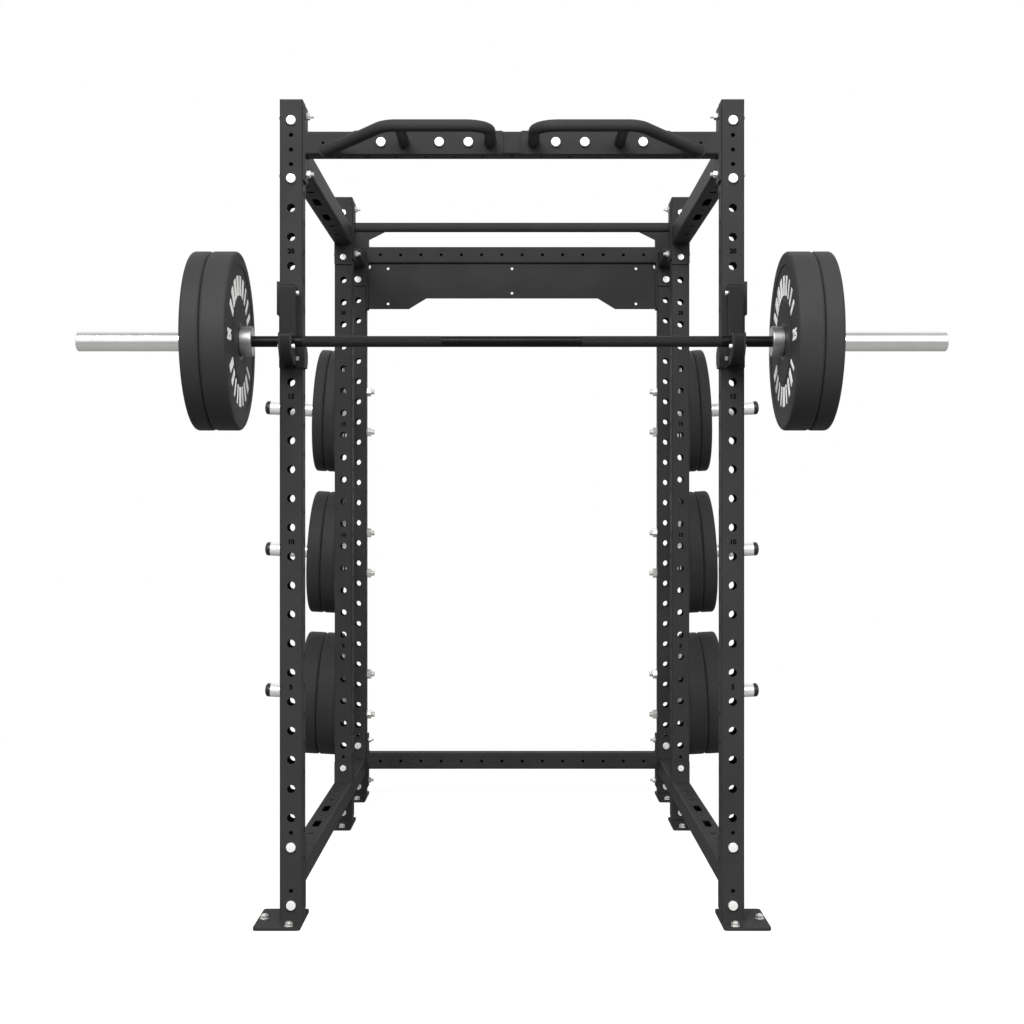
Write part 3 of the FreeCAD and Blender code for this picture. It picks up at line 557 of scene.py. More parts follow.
def named(tree, label, kind="FLOAT"):
    """What the start mesh carries on its points under this name."""
    return add_step(tree, "GeometryNodeInputNamedAttribute", {"Name": label},
                    data_type=kind).outputs["Attribute"]


def random_between(tree, seed, low, high):
    """One random number for each point, the same in every run."""
    return add_step(tree, "FunctionNodeRandomValue", {2: low, 3: high, "Seed": seed},
                    data_type="FLOAT").outputs[1]


def edge_curve(tree, mesh):
    """The edges of a start mesh as curves."""
    return add_step(tree, "GeometryNodeMeshToCurve", {"Mesh": mesh}).outputs["Curve"]


def circle_curve(tree, radius=1.0, corners=32):
    """A circle of straight steps about the origin."""
    return add_step(tree, "GeometryNodeCurvePrimitiveCircle",
                    {"Resolution": corners, "Radius": radius}).outputs["Curve"]


def box_curve(tree, width, height):
    """A rectangle about the origin."""
    return add_step(tree, "GeometryNodeCurvePrimitiveQuadrilateral",
                    {"Width": width, "Height": height}).outputs["Curve"]


def rounded_curve(tree, curve, radius, steps, limit=False):
    """A curve whose corners are rounded in a few straight steps."""
    return add_step(tree, "GeometryNodeFilletCurve", {
        "Curve": curve, "Count": steps, "Radius": radius, "Limit Radius": limit},
        mode="POLY").outputs["Curve"]


def on_each_point(tree, points, shape, **sockets):
    """The shape once on every point."""
    sockets.update({"Points": points, "Instance": shape})
    return add_step(tree, "GeometryNodeInstanceOnPoints", sockets).outputs["Instances"]


def swept(tree, line, ring, **sockets):
    """A solid rod: the ring run along the line, with closed ends."""
    sockets.update({"Curve": line, "Profile Curve": ring, "Fill Caps": True})
    return add_step(tree, "GeometryNodeCurveToMesh", sockets).outputs["Mesh"]


def together(tree, parts):
    """Several geometries as one, with every instance made real."""
    whole = add_step(tree, "GeometryNodeJoinGeometry", {"Geometry": parts}).outputs["Geometry"]
    return add_step(tree, "GeometryNodeRealizeInstances", {"Geometry": whole}).outputs["Geometry"]


def filled(tree, loops):
    """A flat sheet inside closed curves. A loop inside another one becomes a hole."""
    return add_step(tree, "GeometryNodeFillCurve", {"Curve": together(tree, loops)}).outputs["Mesh"]


def end_tree(tree, parts, finish, exit_socket):
    """The last steps of every tree: real geometry, with its finish."""
    whole = add_step(tree, "GeometryNodeSetMaterial", {"Geometry": together(tree, parts), "Material": finish})
    tree.links.new(whole.outputs["Geometry"], exit_socket)
    return tree


# %% Geometry Nodes: thicken a flat sheet
def make_thicken():
    tree, size, done = start_tree("Thicken sheet", "GeometryNodeTree", {
        "Sheet": "Geometry", "Thickness": 0.003}, ["Slab"])
    raised = add_step(tree, "GeometryNodeExtrudeMesh", {
        "Mesh": size["Sheet"], "Offset": (0.0, 0.0, 1.0), "Offset Scale": size["Thickness"],
        "Individual": False}).outputs["Mesh"]
    under = add_step(tree, "GeometryNodeFlipFaces", {"Mesh": size["Sheet"]}).outputs["Mesh"]
    both = add_step(tree, "GeometryNodeJoinGeometry", {"Geometry": [raised, under]}).outputs["Geometry"]
    merged = add_step(tree, "GeometryNodeMergeByDistance", {"Geometry": both, "Distance": 1e-5})
    connect(tree, done, Slab=merged.outputs["Geometry"])
    return tree


thicken = make_thicken()


def thickened(tree, sheet, thickness):
    """A flat sheet as a slab that stands up from it."""
    return add_step(tree, "GeometryNodeGroup", {"Sheet": sheet, "Thickness": thickness},
                    node_tree=thicken).outputs["Slab"]


# %% Geometry Nodes: the drilled tube
WALLS = ("front", "right", "back", "left")
QUARTER = math.pi / 2


def make_drilled_tube():
    tree, size, done = start_tree("Drilled square tube", "GeometryNodeTree", {
        "Holes": "Geometry", "Width": 0.06, "Corner": 0.005, "Wall": 0.003, "Length": 1.0,
        "Slot Length": 0.1, "Slot Width": 0.021, "Finish": "Material"}, ["Tube"])

    def moved(geometry, translation=(0.0, 0.0, 0.0), rotation=(0.0, 0.0, 0.0)):
        return add_step(tree, "GeometryNodeTransform", {
            "Geometry": geometry, "Translation": translation, "Rotation": rotation}).outputs["Geometry"]

    half = maths(tree, "MULTIPLY", size["Width"], 0.5)
    flat_width = maths(tree, "SUBTRACT", size["Width"], maths(tree, "MULTIPLY", size["Corner"], 2.0))
    face = moved(box_curve(tree, flat_width, size["Length"]),
                 vector(tree, y=maths(tree, "MULTIPLY", size["Length"], 0.5)))
    slot = rounded_curve(tree, box_curve(tree, size["Slot Width"], size["Slot Length"]),
                         maths(tree, "MULTIPLY", size["Slot Width"], 0.499), 8)
    kinds = (("NIMPLY", circle_curve(tree), named(tree, "bore")), ("AND", slot, (1.0, 1.0, 1.0)))
    is_slot = named(tree, "slot", "BOOLEAN")
    inner = maths(tree, "SUBTRACT", half, size["Wall"])
    parts = []
    for turn, side in enumerate(WALLS):
        through = named(tree, side, "BOOLEAN")
        loops = [face]
        for rule, shape, scale in kinds:
            chosen = add_step(tree, "FunctionNodeBooleanMath", {0: through, 1: is_slot}, operation=rule)
            loops.append(on_each_point(tree, size["Holes"], shape, Selection=chosen.outputs[0], Scale=scale))
        wall = moved(thickened(tree, filled(tree, loops), size["Wall"]), vector(tree, z=inner))
        wall = moved(wall, rotation=(QUARTER, 0.0, 0.0))
        parts.append(moved(wall, rotation=(0.0, 0.0, turn * QUARTER)))
    arc = add_step(tree, "GeometryNodeCurveArc", {
        "Resolution": 6, "Radius": size["Corner"], "Start Angle": 0.0, "Sweep Angle": QUARTER,
        "Connect Center": True}).outputs["Curve"]
    corner_at = maths(tree, "SUBTRACT", half, size["Corner"])
    bar = moved(thickened(tree, filled(tree, [arc]), size["Length"]), vector(tree, corner_at, corner_at))
    parts += [moved(bar, rotation=(0.0, 0.0, turn * QUARTER)) for turn in range(4)]
    return end_tree(tree, parts, size["Finish"], done["Tube"])


drilled_tube = make_drilled_tube()
print("drilled tube tree:", len(drilled_tube.nodes), "steps")

# %% A drilling plan, and a tube from it
slot_length = 0.1


def plan(holes, start):
    """Start mesh of a tube: holes are (height, radius, walls), and a radius of None means a slot."""
    marks = {side: [side in walls for _, _, walls in holes] for side in WALLS}
    return points_mesh("drilling plan", [(0, height - start, 0) for height, _, _ in holes],
                       bore=[float(radius or pin_hole) for _, radius, _ in holes],
                       slot=[radius is None for _, radius, _ in holes], **marks)


def square_tube(name, holes, start, length):
    """A painted tube that stands on z = 0. Heights in its plan count from the start."""
    return grown(name, drilled_tube, plan(holes, start), Width=tube, Corner=tube_corner, Wall=tube_wall,
                 Length=length, Slot_Length=slot_length, Slot_Width=2 * pin_hole, Finish=powder_coat)


# %% [markdown]
# ## Uprights
#
# Six uprights carry everything. Their front and back walls have a row of 21 mm holes for cups
# and pins. Their side walls have the same row half a pitch higher. Small pilot holes sit between
# the bolts that hold the side beams. Every upright is drilled alike, so one plan makes them all.

# %% Six drilled uprights
def upright_holes():
    """The drilling plan that all uprights share."""
    holes = [(row_height(row), pin_hole, ("front", "back")) for row in range(last_row + 1)
             if row not in (bottom_row, top_row)]
    holes += [(row_height(row + 0.5), pin_hole, ("left", "right")) for row in range(last_row)]
    holes += [(row_height(row), pilot_hole, ("front", "back"))
              for row in (bottom_row - 0.5, bottom_row + 1.5, top_row - 0.5, top_row, top_row + 0.5)]
    for height in cross_heights.values():
        holes += [(height + step, pilot_hole, ("left", "right")) for step in (-pitch, pitch)]
    return holes


def place_upright(name, place, side):
    """One upright in its corner of the cage, instead of the exact one of that name."""
    piece = square_tube(name + "_drilled", upright_holes(), tube_foot, tube_top - tube_foot)
    laid(piece, Matrix.Translation((side * upright_x, depths[place] + tube / 2, tube_foot)))
    return settle(piece, "rack", "frame_paint", name)


for place in depths:
    for side, word in SIDES:
        made = place_upright(word + "_" + place + "_upright", place, side)
print("faces on one upright:", len(made.data.polygons))

# %% [markdown]
# ## Plates cut from sheet
#
# Flanges, the plates behind the grips and the bare plate at the back are flat steel with holes.
# One tree makes any of them. Its start mesh is an outline, drawn as a loop of edges, and one
# loose point for each hole. The corners are rounded, the holes go in as circles, and the sheet
# gets its thickness.

# %% Geometry Nodes: a drilled plate
def make_drilled_plate():
    tree, size, done = start_tree("Drilled plate", "GeometryNodeTree", {
        "Drawing": "Geometry", "Corner": 0.004, "Thickness": 0.006, "Finish": "Material"}, ["Plate"])
    bore = named(tree, "bore")
    is_hole = add_step(tree, "FunctionNodeCompare", {0: bore, 1: 0.0}, operation="GREATER_THAN").outputs[0]
    parts = add_step(tree, "GeometryNodeSeparateGeometry",
                     {"Geometry": size["Drawing"], "Selection": is_hole}).outputs
    holes = on_each_point(tree, parts["Selection"], circle_curve(tree), Scale=bore)
    edge = rounded_curve(tree, edge_curve(tree, parts["Inverted"]), size["Corner"], 5)
    slab = thickened(tree, filled(tree, [edge, holes]), size["Thickness"])
    return end_tree(tree, [slab], size["Finish"], done["Plate"])


drilled_plate_tree = make_drilled_plate()


def eased(piece, width, segments=2):
    """Breaks the sharp edges of a piece by a small round, as deburring and paint do."""
    bevel = piece.modifiers.new("Ease", "BEVEL")
    bevel.width, bevel.segments = width, segments
    bevel.limit_method, bevel.angle_limit = "ANGLE", math.radians(40)
    bevel.use_clamp_overlap = True
    return applied(piece)


def drilled_plate(name, outline, holes, thickness, corner=0.004):
    """A plate on z = 0 with its thickness up. Holes are (x, y, radius)."""
    points = [(x, y, 0) for x, y in outline] + [(x, y, 0) for x, y, _ in holes]
    count = len(outline)
    drawing = points_mesh(name, points, [(i, (i + 1) % count) for i in range(count)],
                          bore=[0.0] * count + [radius for _, _, radius in holes])
    plate = grown(name, drilled_plate_tree, drawing, Corner=corner, Thickness=thickness,
                  Finish=powder_coat)
    return eased(plate, 0.0006)


def rectangle(x_low, x_high, y_low, y_high):
    """Corners of a plate's outline, anticlockwise."""
    return [(x_low, y_low), (x_high, y_low), (x_high, y_high), (x_low, y_high)]


# %% [markdown]
# ## Weld beads
#
# The flanges are welded to the beams, and the paint goes over the weld. A bead is a row of
# puddles, each a little over the last. The tree takes the line of the seam, runs a small round
# rod along it, and lets the rod swell and drop back every few millimetres.

# %% Geometry Nodes: a weld bead along a seam
def make_weld():
    tree, size, done = start_tree("Weld bead", "GeometryNodeTree", {
        "Seam": "Geometry", "Radius": 0.0026, "Step": 0.0011, "Seed": 3, "Finish": "Material"}, ["Bead"])
    line = add_step(tree, "GeometryNodeResampleCurve", {
        "Curve": edge_curve(tree, size["Seam"]), "Length": size["Step"]}, mode="LENGTH").outputs["Curve"]
    index = add_step(tree, "GeometryNodeInputIndex").outputs["Index"]
    puddle = maths(tree, "DIVIDE", maths(tree, "MODULO", index, 4.0), 4.0)
    swell = maths(tree, "ADD", random_between(tree, size["Seed"], 0.78, 0.9),
                  maths(tree, "MULTIPLY", puddle, 0.22))
    bead = swept(tree, line, circle_curve(tree, size["Radius"], 7), Scale=swell)
    return end_tree(tree, [bead], size["Finish"], done["Bead"])


weld_tree = make_weld()


def weld(name, seams, radius=0.0026, closed=False):
    """Beads along seams. A seam is a list of points, and a closed one returns to its start."""
    points, edges = [], []
    for seam in seams:
        first = len(points)
        points += seam
        edges += [(first + i, first + i + 1) for i in range(len(seam) - 1)]
        if closed:
            edges.append((len(points) - 1, first))
    return grown(name, weld_tree, points_mesh(name, points, edges), Radius=radius, Finish=powder_coat)


def circle_seam(centre, radius, normal, count=28):
    """Points round a circle about a normal, for the seam of a round tube."""
    turn = Vector(normal).to_track_quat("Z", "Y").to_matrix()
    return [Vector(centre) + turn @ Vector((radius * math.cos(a), radius * math.sin(a), 0))
            for a in (2 * math.pi * i / count for i in range(count))]


# %% [markdown]
# ## Beams with welded flanges
#
# A beam is a length of the same tube between two flanges. The flange is as wide as the tube and
# taller, with a bolt hole above and one below. Its seams run across the top and under the
# beam. A beam is drawn standing on z = 0 and then laid along its line by a matrix.

# %% A beam from its drilling plan
flange_reach = pitch + 0.023
cross_clearance = 0.0055
seam_inset = 0.003


def beam_pieces(name, length, holes, flange_hole, below=flange_reach):
    """A tube, two flanges and four seams. The beam runs up Z and its height is along Y."""
    body = square_tube(name, holes, flange_thick, length - 2 * flange_thick)
    parts = [lifted(body, flange_thick)]
    flange_holes = [(0, pitch, flange_hole), (0, -pitch, flange_hole)]
    half = tube / 2
    for start in (0.0, length - flange_thick):
        end = drilled_plate(name, rectangle(-half, half, -below, flange_reach), flange_holes, flange_thick)
        parts.append(lifted(end, start))
    seam_end = half - seam_inset
    seams = [[(-seam_end, side * half, seam_z), (seam_end, side * half, seam_z)]
             for seam_z in (flange_thick, length - flange_thick) for side in (-1, 1)]
    parts.append(weld(name, seams))
    return joined(name, parts)


def line_frame(origin, x_axis, y_axis, z_axis):
    """Matrix that lays a piece's own axes along three directions."""
    columns = [Vector(axis) for axis in (x_axis, y_axis, z_axis)]
    return Matrix([[columns[j][i] for j in range(3)] + [origin[i]] for i in range(3)] + [[0, 0, 0, 1]])


def along_x(y, z):
    """Along the width, with the beam's height upward: its front wall is the underside."""
    return line_frame((-inner_x, y, z), (0, 1, 0), (0, 0, 1), (1, 0, 0))


def along_y(x, y, z):
    """From front to back, with the beam's height upward: its front wall is the underside."""
    return line_frame((x, y, z), (-1, 0, 0), (0, 0, 1), (0, 1, 0))


# %% Three cross beams
def pitch_steps(offset, reach):
    """Spots one pitch apart on both sides of the middle, from an offset out to a reach."""
    steps = int((reach - offset) / pitch + 1e-6) + 1
    right = [offset + step * pitch for step in range(steps)]
    return sorted({round(sign * spot, 5) for spot in right for sign in (-1, 1)})


grip_bolt_x = [spot * pitch for spot in (1.5, 2.5, 4.5)]
spare_x, spare_hole = 6.5 * pitch, 0.0034
cross_length = 2 * inner_x
top_front_holes = [(inner_x + side * spot, cross_clearance, ("left", "right"))
                   for spot in grip_bolt_x for side in (-1, 1)]
top_front_holes += [(inner_x + side * spare_x, spare_hole, ("left", "right")) for side in (-1, 1)]
top_front_holes += [(inner_x + spot, pilot_hole, ("front",)) for spot in pitch_steps(0, inner_x - pitch)]
rear_holes = [(inner_x + spot, pilot_hole, ("left",))
              for spot in pitch_steps(pitch / 2, inner_x - pitch / 2)]
cross_plan = (("top_front_beam", "front", "top", top_front_holes),
              ("top_rear_beam", "rear", "top", rear_holes),
              ("bottom_rear_beam", "rear", "bottom", rear_holes))
for name, place, level, holes in cross_plan:
    low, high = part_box(name)
    beam = beam_pieces(name + "_drilled", cross_length, holes, cross_clearance,
                       below=cross_heights[level] - low.z)
    laid(beam, along_x(depths[place] + tube / 2, cross_heights[level]))
    settle(beam, "rack", "frame_paint", name)
    print(name, len(beam.data.polygons), "faces")

# %% Side beams and storage links
def side_pair(name, start_y, length, level, holes):
    """The beam on the right side of the cage, and its mirror image on the left."""
    beam = beam_pieces(name, length, holes, pin_hole)
    laid(beam, along_y(upright_x, start_y, side_heights[level]))
    left = mirrored_copy(beam, "left_" + name + "_drilled")
    beam.name = "right_" + name + "_drilled"
    for made, word in ((beam, "right_"), (left, "left_")):
        settle(made, "rack", "frame_paint", word + name)


front_bay = depths["middle"] - depths["front"] - tube
storage_bay = depths["rear"] - depths["middle"] - tube
slot_offset = 0.118
for level, wall in (("top", "front"), ("bottom", "back")):
    middle = front_bay / 2
    holes = [(middle + side * step * pitch, pin_hole, (wall,)) for step in (3.5, 5.5) for side in (-1, 1)]
    holes += [(middle + step * pitch, pilot_hole, (wall,)) for step in (-4.5, 0, 4.5)]
    holes += [(middle + side * slot_offset, None, (wall,)) for side in (-1, 1)]
    side_pair(level + "_side_beam", depths["front"] + tube, front_bay, level, holes)
    side_pair(level + "_storage_link", depths["middle"] + tube, storage_bay, level, [])
print("front bay", round(front_bay, 3), "storage bay", round(storage_bay, 3))

# %% [markdown]
# ## Turned and hexagonal shapes
#
# Nuts, bolt heads, plates, sleeves and pegs are all round about a line. A shape is given as
# rings from bottom to top, each with a radius and a height. A ring may also be a hexagon, with
# its corners cut back to a limit, which is how a nut's chamfer and a bolt's key socket are made.

# %% Helper: a shape from rings
def ring_shape(name, rings, segments=24, hollow=False, finish=None):
    """Rings are (radius, height). A hexagon is (half its width over flats, height, corner limit)."""
    bm = bmesh.new()
    rows = []
    for radius, height, *limit in rings:
        if radius == 0:
            rows.append([bm.verts.new((0, 0, height))])
            continue
        row = []
        for step in range(segments):
            angle = 2 * math.pi * step / segments
            reach = radius
            if limit:
                off_flat = (angle + math.pi / 6) % (math.pi / 3) - math.pi / 6
                reach = min(radius / math.cos(off_flat), limit[0])
            row.append(bm.verts.new((reach * math.cos(angle), reach * math.sin(angle), height)))
        rows.append(row)
    pairs = list(zip(rows, rows[1:]))
    if hollow:
        pairs.append((rows[-1], rows[0]))
    for lower, upper in pairs:
        for step in range(segments):
            after = (step + 1) % segments
            corners = [lower[step % len(lower)], lower[after % len(lower)],
                       upper[after % len(upper)], upper[step % len(upper)]]
            bm.faces.new(list(dict.fromkeys(corners)))
    if not hollow:
        for row in (rows[0], rows[-1]):
            if len(row) > 1:
                bm.faces.new(row)
    bmesh.ops.recalc_face_normals(bm, faces=bm.faces)
    return add_object(name, mesh_from(name, bm, *([finish] if finish else [])))


def rounded_corner(radius, height, ease, turn_from, turn_to, steps=4):
    """Ring points round a corner about (radius, height), between two directions in degrees."""
    turns = [math.radians(turn_from + (turn_to - turn_from) * i / steps) for i in range(steps + 1)]
    return [(radius + ease * math.cos(turn), height + ease * math.sin(turn)) for turn in turns]


# %% [markdown]
# ## Bolts and nuts
#
# The cage is held by about sixty plated bolts, and its feet by eighteen anchors. Each kind of
# head and nut is modelled once. The frame's heads are smooth domes, the cross bolts have a
# hexagonal key socket, and a nut has cut corners and a short threaded end. A tree then puts the
# shape on a list of points, turned to each point's direction. It also spins each one by a random
# angle, because nobody tightens nuts into line.

# %% Geometry Nodes: one shape on many points
def make_repeat():
    tree, size, done = start_tree("Shape on points", "GeometryNodeTree", {
        "Points": "Geometry", "Shape": "Object", "Seed": 5, "Finish": "Material"}, ["Pieces"])

    def turned(euler):
        return add_step(tree, "FunctionNodeEulerToRotation", {"Euler": euler}).outputs["Rotation"]

    spin = vector(tree, z=random_between(tree, size["Seed"], -math.pi, math.pi))
    rotation = add_step(tree, "FunctionNodeRotateRotation", {
        "Rotation": turned(named(tree, "turn", "FLOAT_VECTOR")), "Rotate By": turned(spin)},
        rotation_space="LOCAL").outputs["Rotation"]
    shape = add_step(tree, "GeometryNodeObjectInfo", {"Object": size["Shape"]}).outputs["Geometry"]
    placed = on_each_point(tree, size["Points"], shape, Rotation=rotation)
    return end_tree(tree, [placed], size["Finish"], done["Pieces"])


repeat_tree = make_repeat()


def on_points(name, shape, places, finish=None, seed=5):
    """Copies of a shape. Places on the right side are (point, direction of its own Z)."""
    places = places + [((-p[0], p[1], p[2]), (-d[0], d[1], d[2])) for p, d in places]
    turns = [tuple(Vector(facing).to_track_quat("Z", "Y").to_euler()) for _, facing in places]
    start = points_mesh(name, [point for point, _ in places], turn=turns)
    piece = grown(name, repeat_tree, start, Shape=shape, Seed=seed, Finish=finish or zinc)
    bpy.data.objects.remove(shape)
    return piece


# %% Shapes of a head, a nut and a stud
HEX_SHARP = 1.0         # a corner limit so wide that the hexagon keeps its corners
CROWN_FALL = 0.00015    # how much lower a smooth head is where its top meets its round


def domed_head(radius, height, key=False):
    """Domed head that stands on z = 0, smooth or with a hexagonal key socket."""
    skirt = 0.22 * height
    crown = height - CROWN_FALL
    dome = [math.radians(15 * i) for i in range(1, 7)]
    rings = [(0.96 * radius, 0.0), (radius, 0.05 * height), (radius, skirt)]
    if key:
        rings += [(radius * (0.62 + 0.38 * math.cos(turn)), skirt + (height - skirt) * math.sin(turn))
                  for turn in dome[:5]]
        rings += [(0.36 * radius, height, HEX_SHARP), (0.36 * radius, 0.35 * height, HEX_SHARP)]
    else:
        rings += [(radius * (0.86 + 0.14 * math.cos(turn)), skirt + (crown - skirt) * math.sin(turn))
                  for turn in dome]
        rings += [(share * radius, height - CROWN_FALL * share ** 2 / 0.74) for share in (0.6, 0.3, 0)]
    return ring_shape("head", rings, 32)


def hex_with_stud(flats, height, stud, tail, thread=0.0015):
    """Nut with cut corners, and the threaded end that stands past it."""
    corner = 1.06 * flats
    cut = 0.12 * height
    rings = [(flats, 0.0, corner * 0.99), (flats, cut, HEX_SHARP), (flats, height - cut, HEX_SHARP),
             (flats, height, corner * 0.99), (stud * 1.12, height), (stud, height - 0.0006)]
    for step in range(int(tail / thread)):
        base = height + step * thread
        rings += [(stud, base + 0.25 * thread), (stud * 0.9, base + 0.75 * thread)]
    rings += [(stud * 0.98, height + tail - 0.0006), (stud * 0.86, height + tail)]
    return ring_shape("nut", rings)


# %% Front-to-back bolts of the frame
carriage_head, small_head, carriage_height = 0.0127, 0.0106, 0.007
frame_nut = {"flats": 0.0155, "height": 0.016, "stud": 0.01, "tail": 0.012}
frame_rows = [row_height(row) for row in (bottom_row - 1, bottom_row + 1, top_row - 1, top_row + 1)]
peg_heights = {"bottom": row_height(4.5), "middle": row_height(11.5), "top": row_height(18.5)}
peg_bolt_z = [height + step for height in peg_heights.values() for step in (-pitch, pitch)]
head_y = {place: y - (0 if place == "front" else flange_thick) for place, y in depths.items()}
nut_y = {place: y + tube + (0 if place == "rear" else flange_thick) for place, y in depths.items()}
rear_line = depths["rear"] + tube / 2
outer_x = inner_x + tube
heads = {place: [((upright_x, head_y[place], z), (0, -1, 0)) for z in frame_rows] for place in depths}
heads["side"] = [((outer_x + flange_thick, rear_line, z), (1, 0, 0)) for z in peg_bolt_z]
head_radius = dict.fromkeys(heads, carriage_head)
head_radius["middle"] = small_head
nuts = [((upright_x, nut_y[place], z), (0, 1, 0)) for place in depths for z in frame_rows]
nuts += [((inner_x, rear_line, z), (-1, 0, 0)) for z in peg_bolt_z]
frame_heads = [on_points(place + "_heads", domed_head(head_radius[place], carriage_height),
                         spots, bright_plate) for place, spots in heads.items()]
settle(joined("frame_bolt_heads", frame_heads), "rack", "zinc", "frame_bolts")
settle(on_points("frame_bolt_nuts", hex_with_stud(**frame_nut), nuts, seed=8),
       "rack", "zinc", "frame_nuts")
print("frame bolts:", 2 * sum(len(spots) for spots in heads.values()))

# %% Cross bolts, grip bolts and cup bolts
cross_nut = {"flats": 0.0085, "height": 0.01, "stud": 0.005, "tail": 0.009}
cross_places = [("front", "top"), ("middle", "top"), ("rear", "top"), ("rear", "bottom")]
cross_spots = [(depths[place] + tube / 2, cross_heights[level] + step)
               for place, level in cross_places for step in (-pitch, pitch)]
heads = [((outer_x, y, z), (1, 0, 0)) for y, z in cross_spots]
nuts = [((inner_x - flange_thick, y, z), (-1, 0, 0)) for y, z in cross_spots]
settle(on_points("cross_bolt_heads", domed_head(0.009, 0.0055, key=True), heads, bright_plate),
       "rack", "zinc", "cross_bolts")
settle(on_points("cross_bolt_nuts", hex_with_stud(**cross_nut), nuts, seed=9),
       "rack", "zinc", "cross_nuts")

grip_plate_thick = 0.005
grip_face = depths["front"] - grip_plate_thick
grip_z = cross_heights["top"]
heads = [((x, grip_face, grip_z), (0, -1, 0)) for x in grip_bolt_x]
nuts = [((x, depths["front"] + tube, grip_z), (0, 1, 0)) for x in grip_bolt_x]
grip_fasteners = joined("grip_bolts_whole", [
    on_points("grip_heads", domed_head(carriage_head, carriage_height), heads, bright_plate),
    on_points("grip_nuts", hex_with_stud(**cross_nut), nuts, seed=4)])
settle(grip_fasteners, "rack", "zinc", "grip_bolts")

cup_half = 0.017        # half of a cup's width, over both side plates of its hook
cup_spots = [(-0.89, 1.626), (-0.89, 1.458), (-0.9643, 1.482)]      # depth and height
heads = [((upright_x + cup_half, y, z), (1, 0, 0)) for y, z in cup_spots]
nuts = [((upright_x - cup_half, y, z), (-1, 0, 0)) for y, z in cup_spots]
low_head = ring_shape("low head", [(0.0053, 0), (0.0055, 0.0003), (0.0055, 0.0008), (0.0046, 0.0015),
                                   (0.0022, 0.0015, HEX_SHARP), (0.0022, 0.0003, HEX_SHARP)])
barrel_nut = ring_shape("barrel nut", [(0.0053, 0), (0.0055, 0.0003), (0.0055, 0.0066), (0.0049, 0.0072),
                                       (0.0026, 0.0072, HEX_SHARP), (0.0026, 0.003, HEX_SHARP)])
cup_fasteners = joined("cup_bolts_whole", [
    on_points("cup_heads", low_head, heads, bright_plate),
    on_points("cup_nuts", barrel_nut, nuts, bright_plate, seed=6)])
settle(cup_fasteners, "rack", "zinc", "cup_bolts")

# %% Floor anchors
foot_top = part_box("foot_plates")[1].z
anchor_offsets = ((0, -0.073), (0, 0.089), (0.073, 0))
anchor_places = [((upright_x + x, front + tube / 2 + y, foot_top), (0, 0, 1))
                 for front in depths.values() for x, y in anchor_offsets]
washer_top = 0.002
washer = ring_shape("washer", [(0.0113, 0), (0.0115, 0.0003), (0.0115, washer_top - 0.0004),
                               (0.011, washer_top)])
anchor_nut = hex_with_stud(flats=0.009, height=0.008, stud=0.006, tail=0.003, thread=0.001)
lifted(anchor_nut, washer_top)
anchors = joined("anchors_whole", [
    on_points("anchor_washers", washer, anchor_places, anchor_zinc),
    on_points("anchor_nuts", anchor_nut, anchor_places, anchor_zinc, seed=2)])
settle(anchors, "rack", "zinc", "anchor_bolts")
print("anchors:", 2 * len(anchor_places))

# %% [markdown]
# ## Pieces with eased edges
#
# Some pieces are already right in the frame, apart from their razor edges. Real laser-cut steel
# is deburred and then coated, so each edge catches a thin line of light. Their mesh is copied,
# its loose triangles are merged and the flat ones joined up, and each sharp edge gets a small
# round.

# %% Helper: a copy with eased edges
def eased_copy(node, width, segments=2, finish=None):
    """A copy of an exact piece, with its sharp edges rounded by a width."""
    bm = bmesh.new()
    bm.from_mesh(frame["nodes"][node].data)
    bmesh.ops.remove_doubles(bm, verts=bm.verts, dist=2e-6)
    bmesh.ops.dissolve_limit(bm, angle_limit=math.radians(0.6), verts=bm.verts, edges=bm.edges)
    mesh = mesh_from(node, bm, finish or finishes[slot_of[node]])
    return eased(add_object(node + "_eased", mesh), width, segments)


# %% Feet, with the seam round each upright
corner_cut = 0.004      # the seam turns the corner of the tube by a straight step
foot_seams = []
for front in depths.values():
    back = front + tube
    for side in (-1, 1):
        start_x, turn_x, side_x = side * (inner_x + 0.003), side * (outer_x - corner_cut), side * outer_x
        corners = [(start_x, front), (turn_x, front), (side_x, front + corner_cut),
                   (side_x, back - corner_cut), (turn_x, back), (start_x, back)]
        foot_seams.append([(x, y, foot_top) for x, y in corners])
feet = joined("feet_welded", [eased_copy("foot_plates", 0.0008), weld("foot_seams", foot_seams, 0.0032)])
settle(feet, "rack", "frame_paint", "foot_plates")

# %% Caps, base plates and pull-up bar
settle(eased_copy("upright_caps", 0.0009), "rack", "black_plastic", "upright_caps")
settle(eased_copy("peg_base_plates", 0.0008), "rack", "frame_paint", "peg_base_plates")

pullup_y = depths["middle"] + tube / 2
pullup_z = cross_heights["top"] + 0.0145
pullup_seam = 0.0165
pullup_seams = [circle_seam((side * (inner_x - flange_thick), pullup_y, pullup_z), pullup_seam, (1, 0, 0))
                for side in (-1, 1)]
pullup = joined("pullup_bar_welded", [eased_copy("pullup_bar", 0.0006),
                                      weld("pullup_seams", pullup_seams, 0.0024, closed=True)])
settle(pullup, "rack", "frame_paint", "pullup_bar")

# %% [markdown]
# ## The plate under the rear beam
#
# A maker hangs a name plate there. Here it is bare. It is one more drawing for the plate tree: a
# sheet that is deeper at its ends, six small holes, and a round notch in each upper corner where
# the sheet clears the bead of the flange.

# %% Bare plate under the rear beam
sign_low, sign_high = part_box("sign_plate")
sign_inset, sign_hole = 0.0195, 0.0048


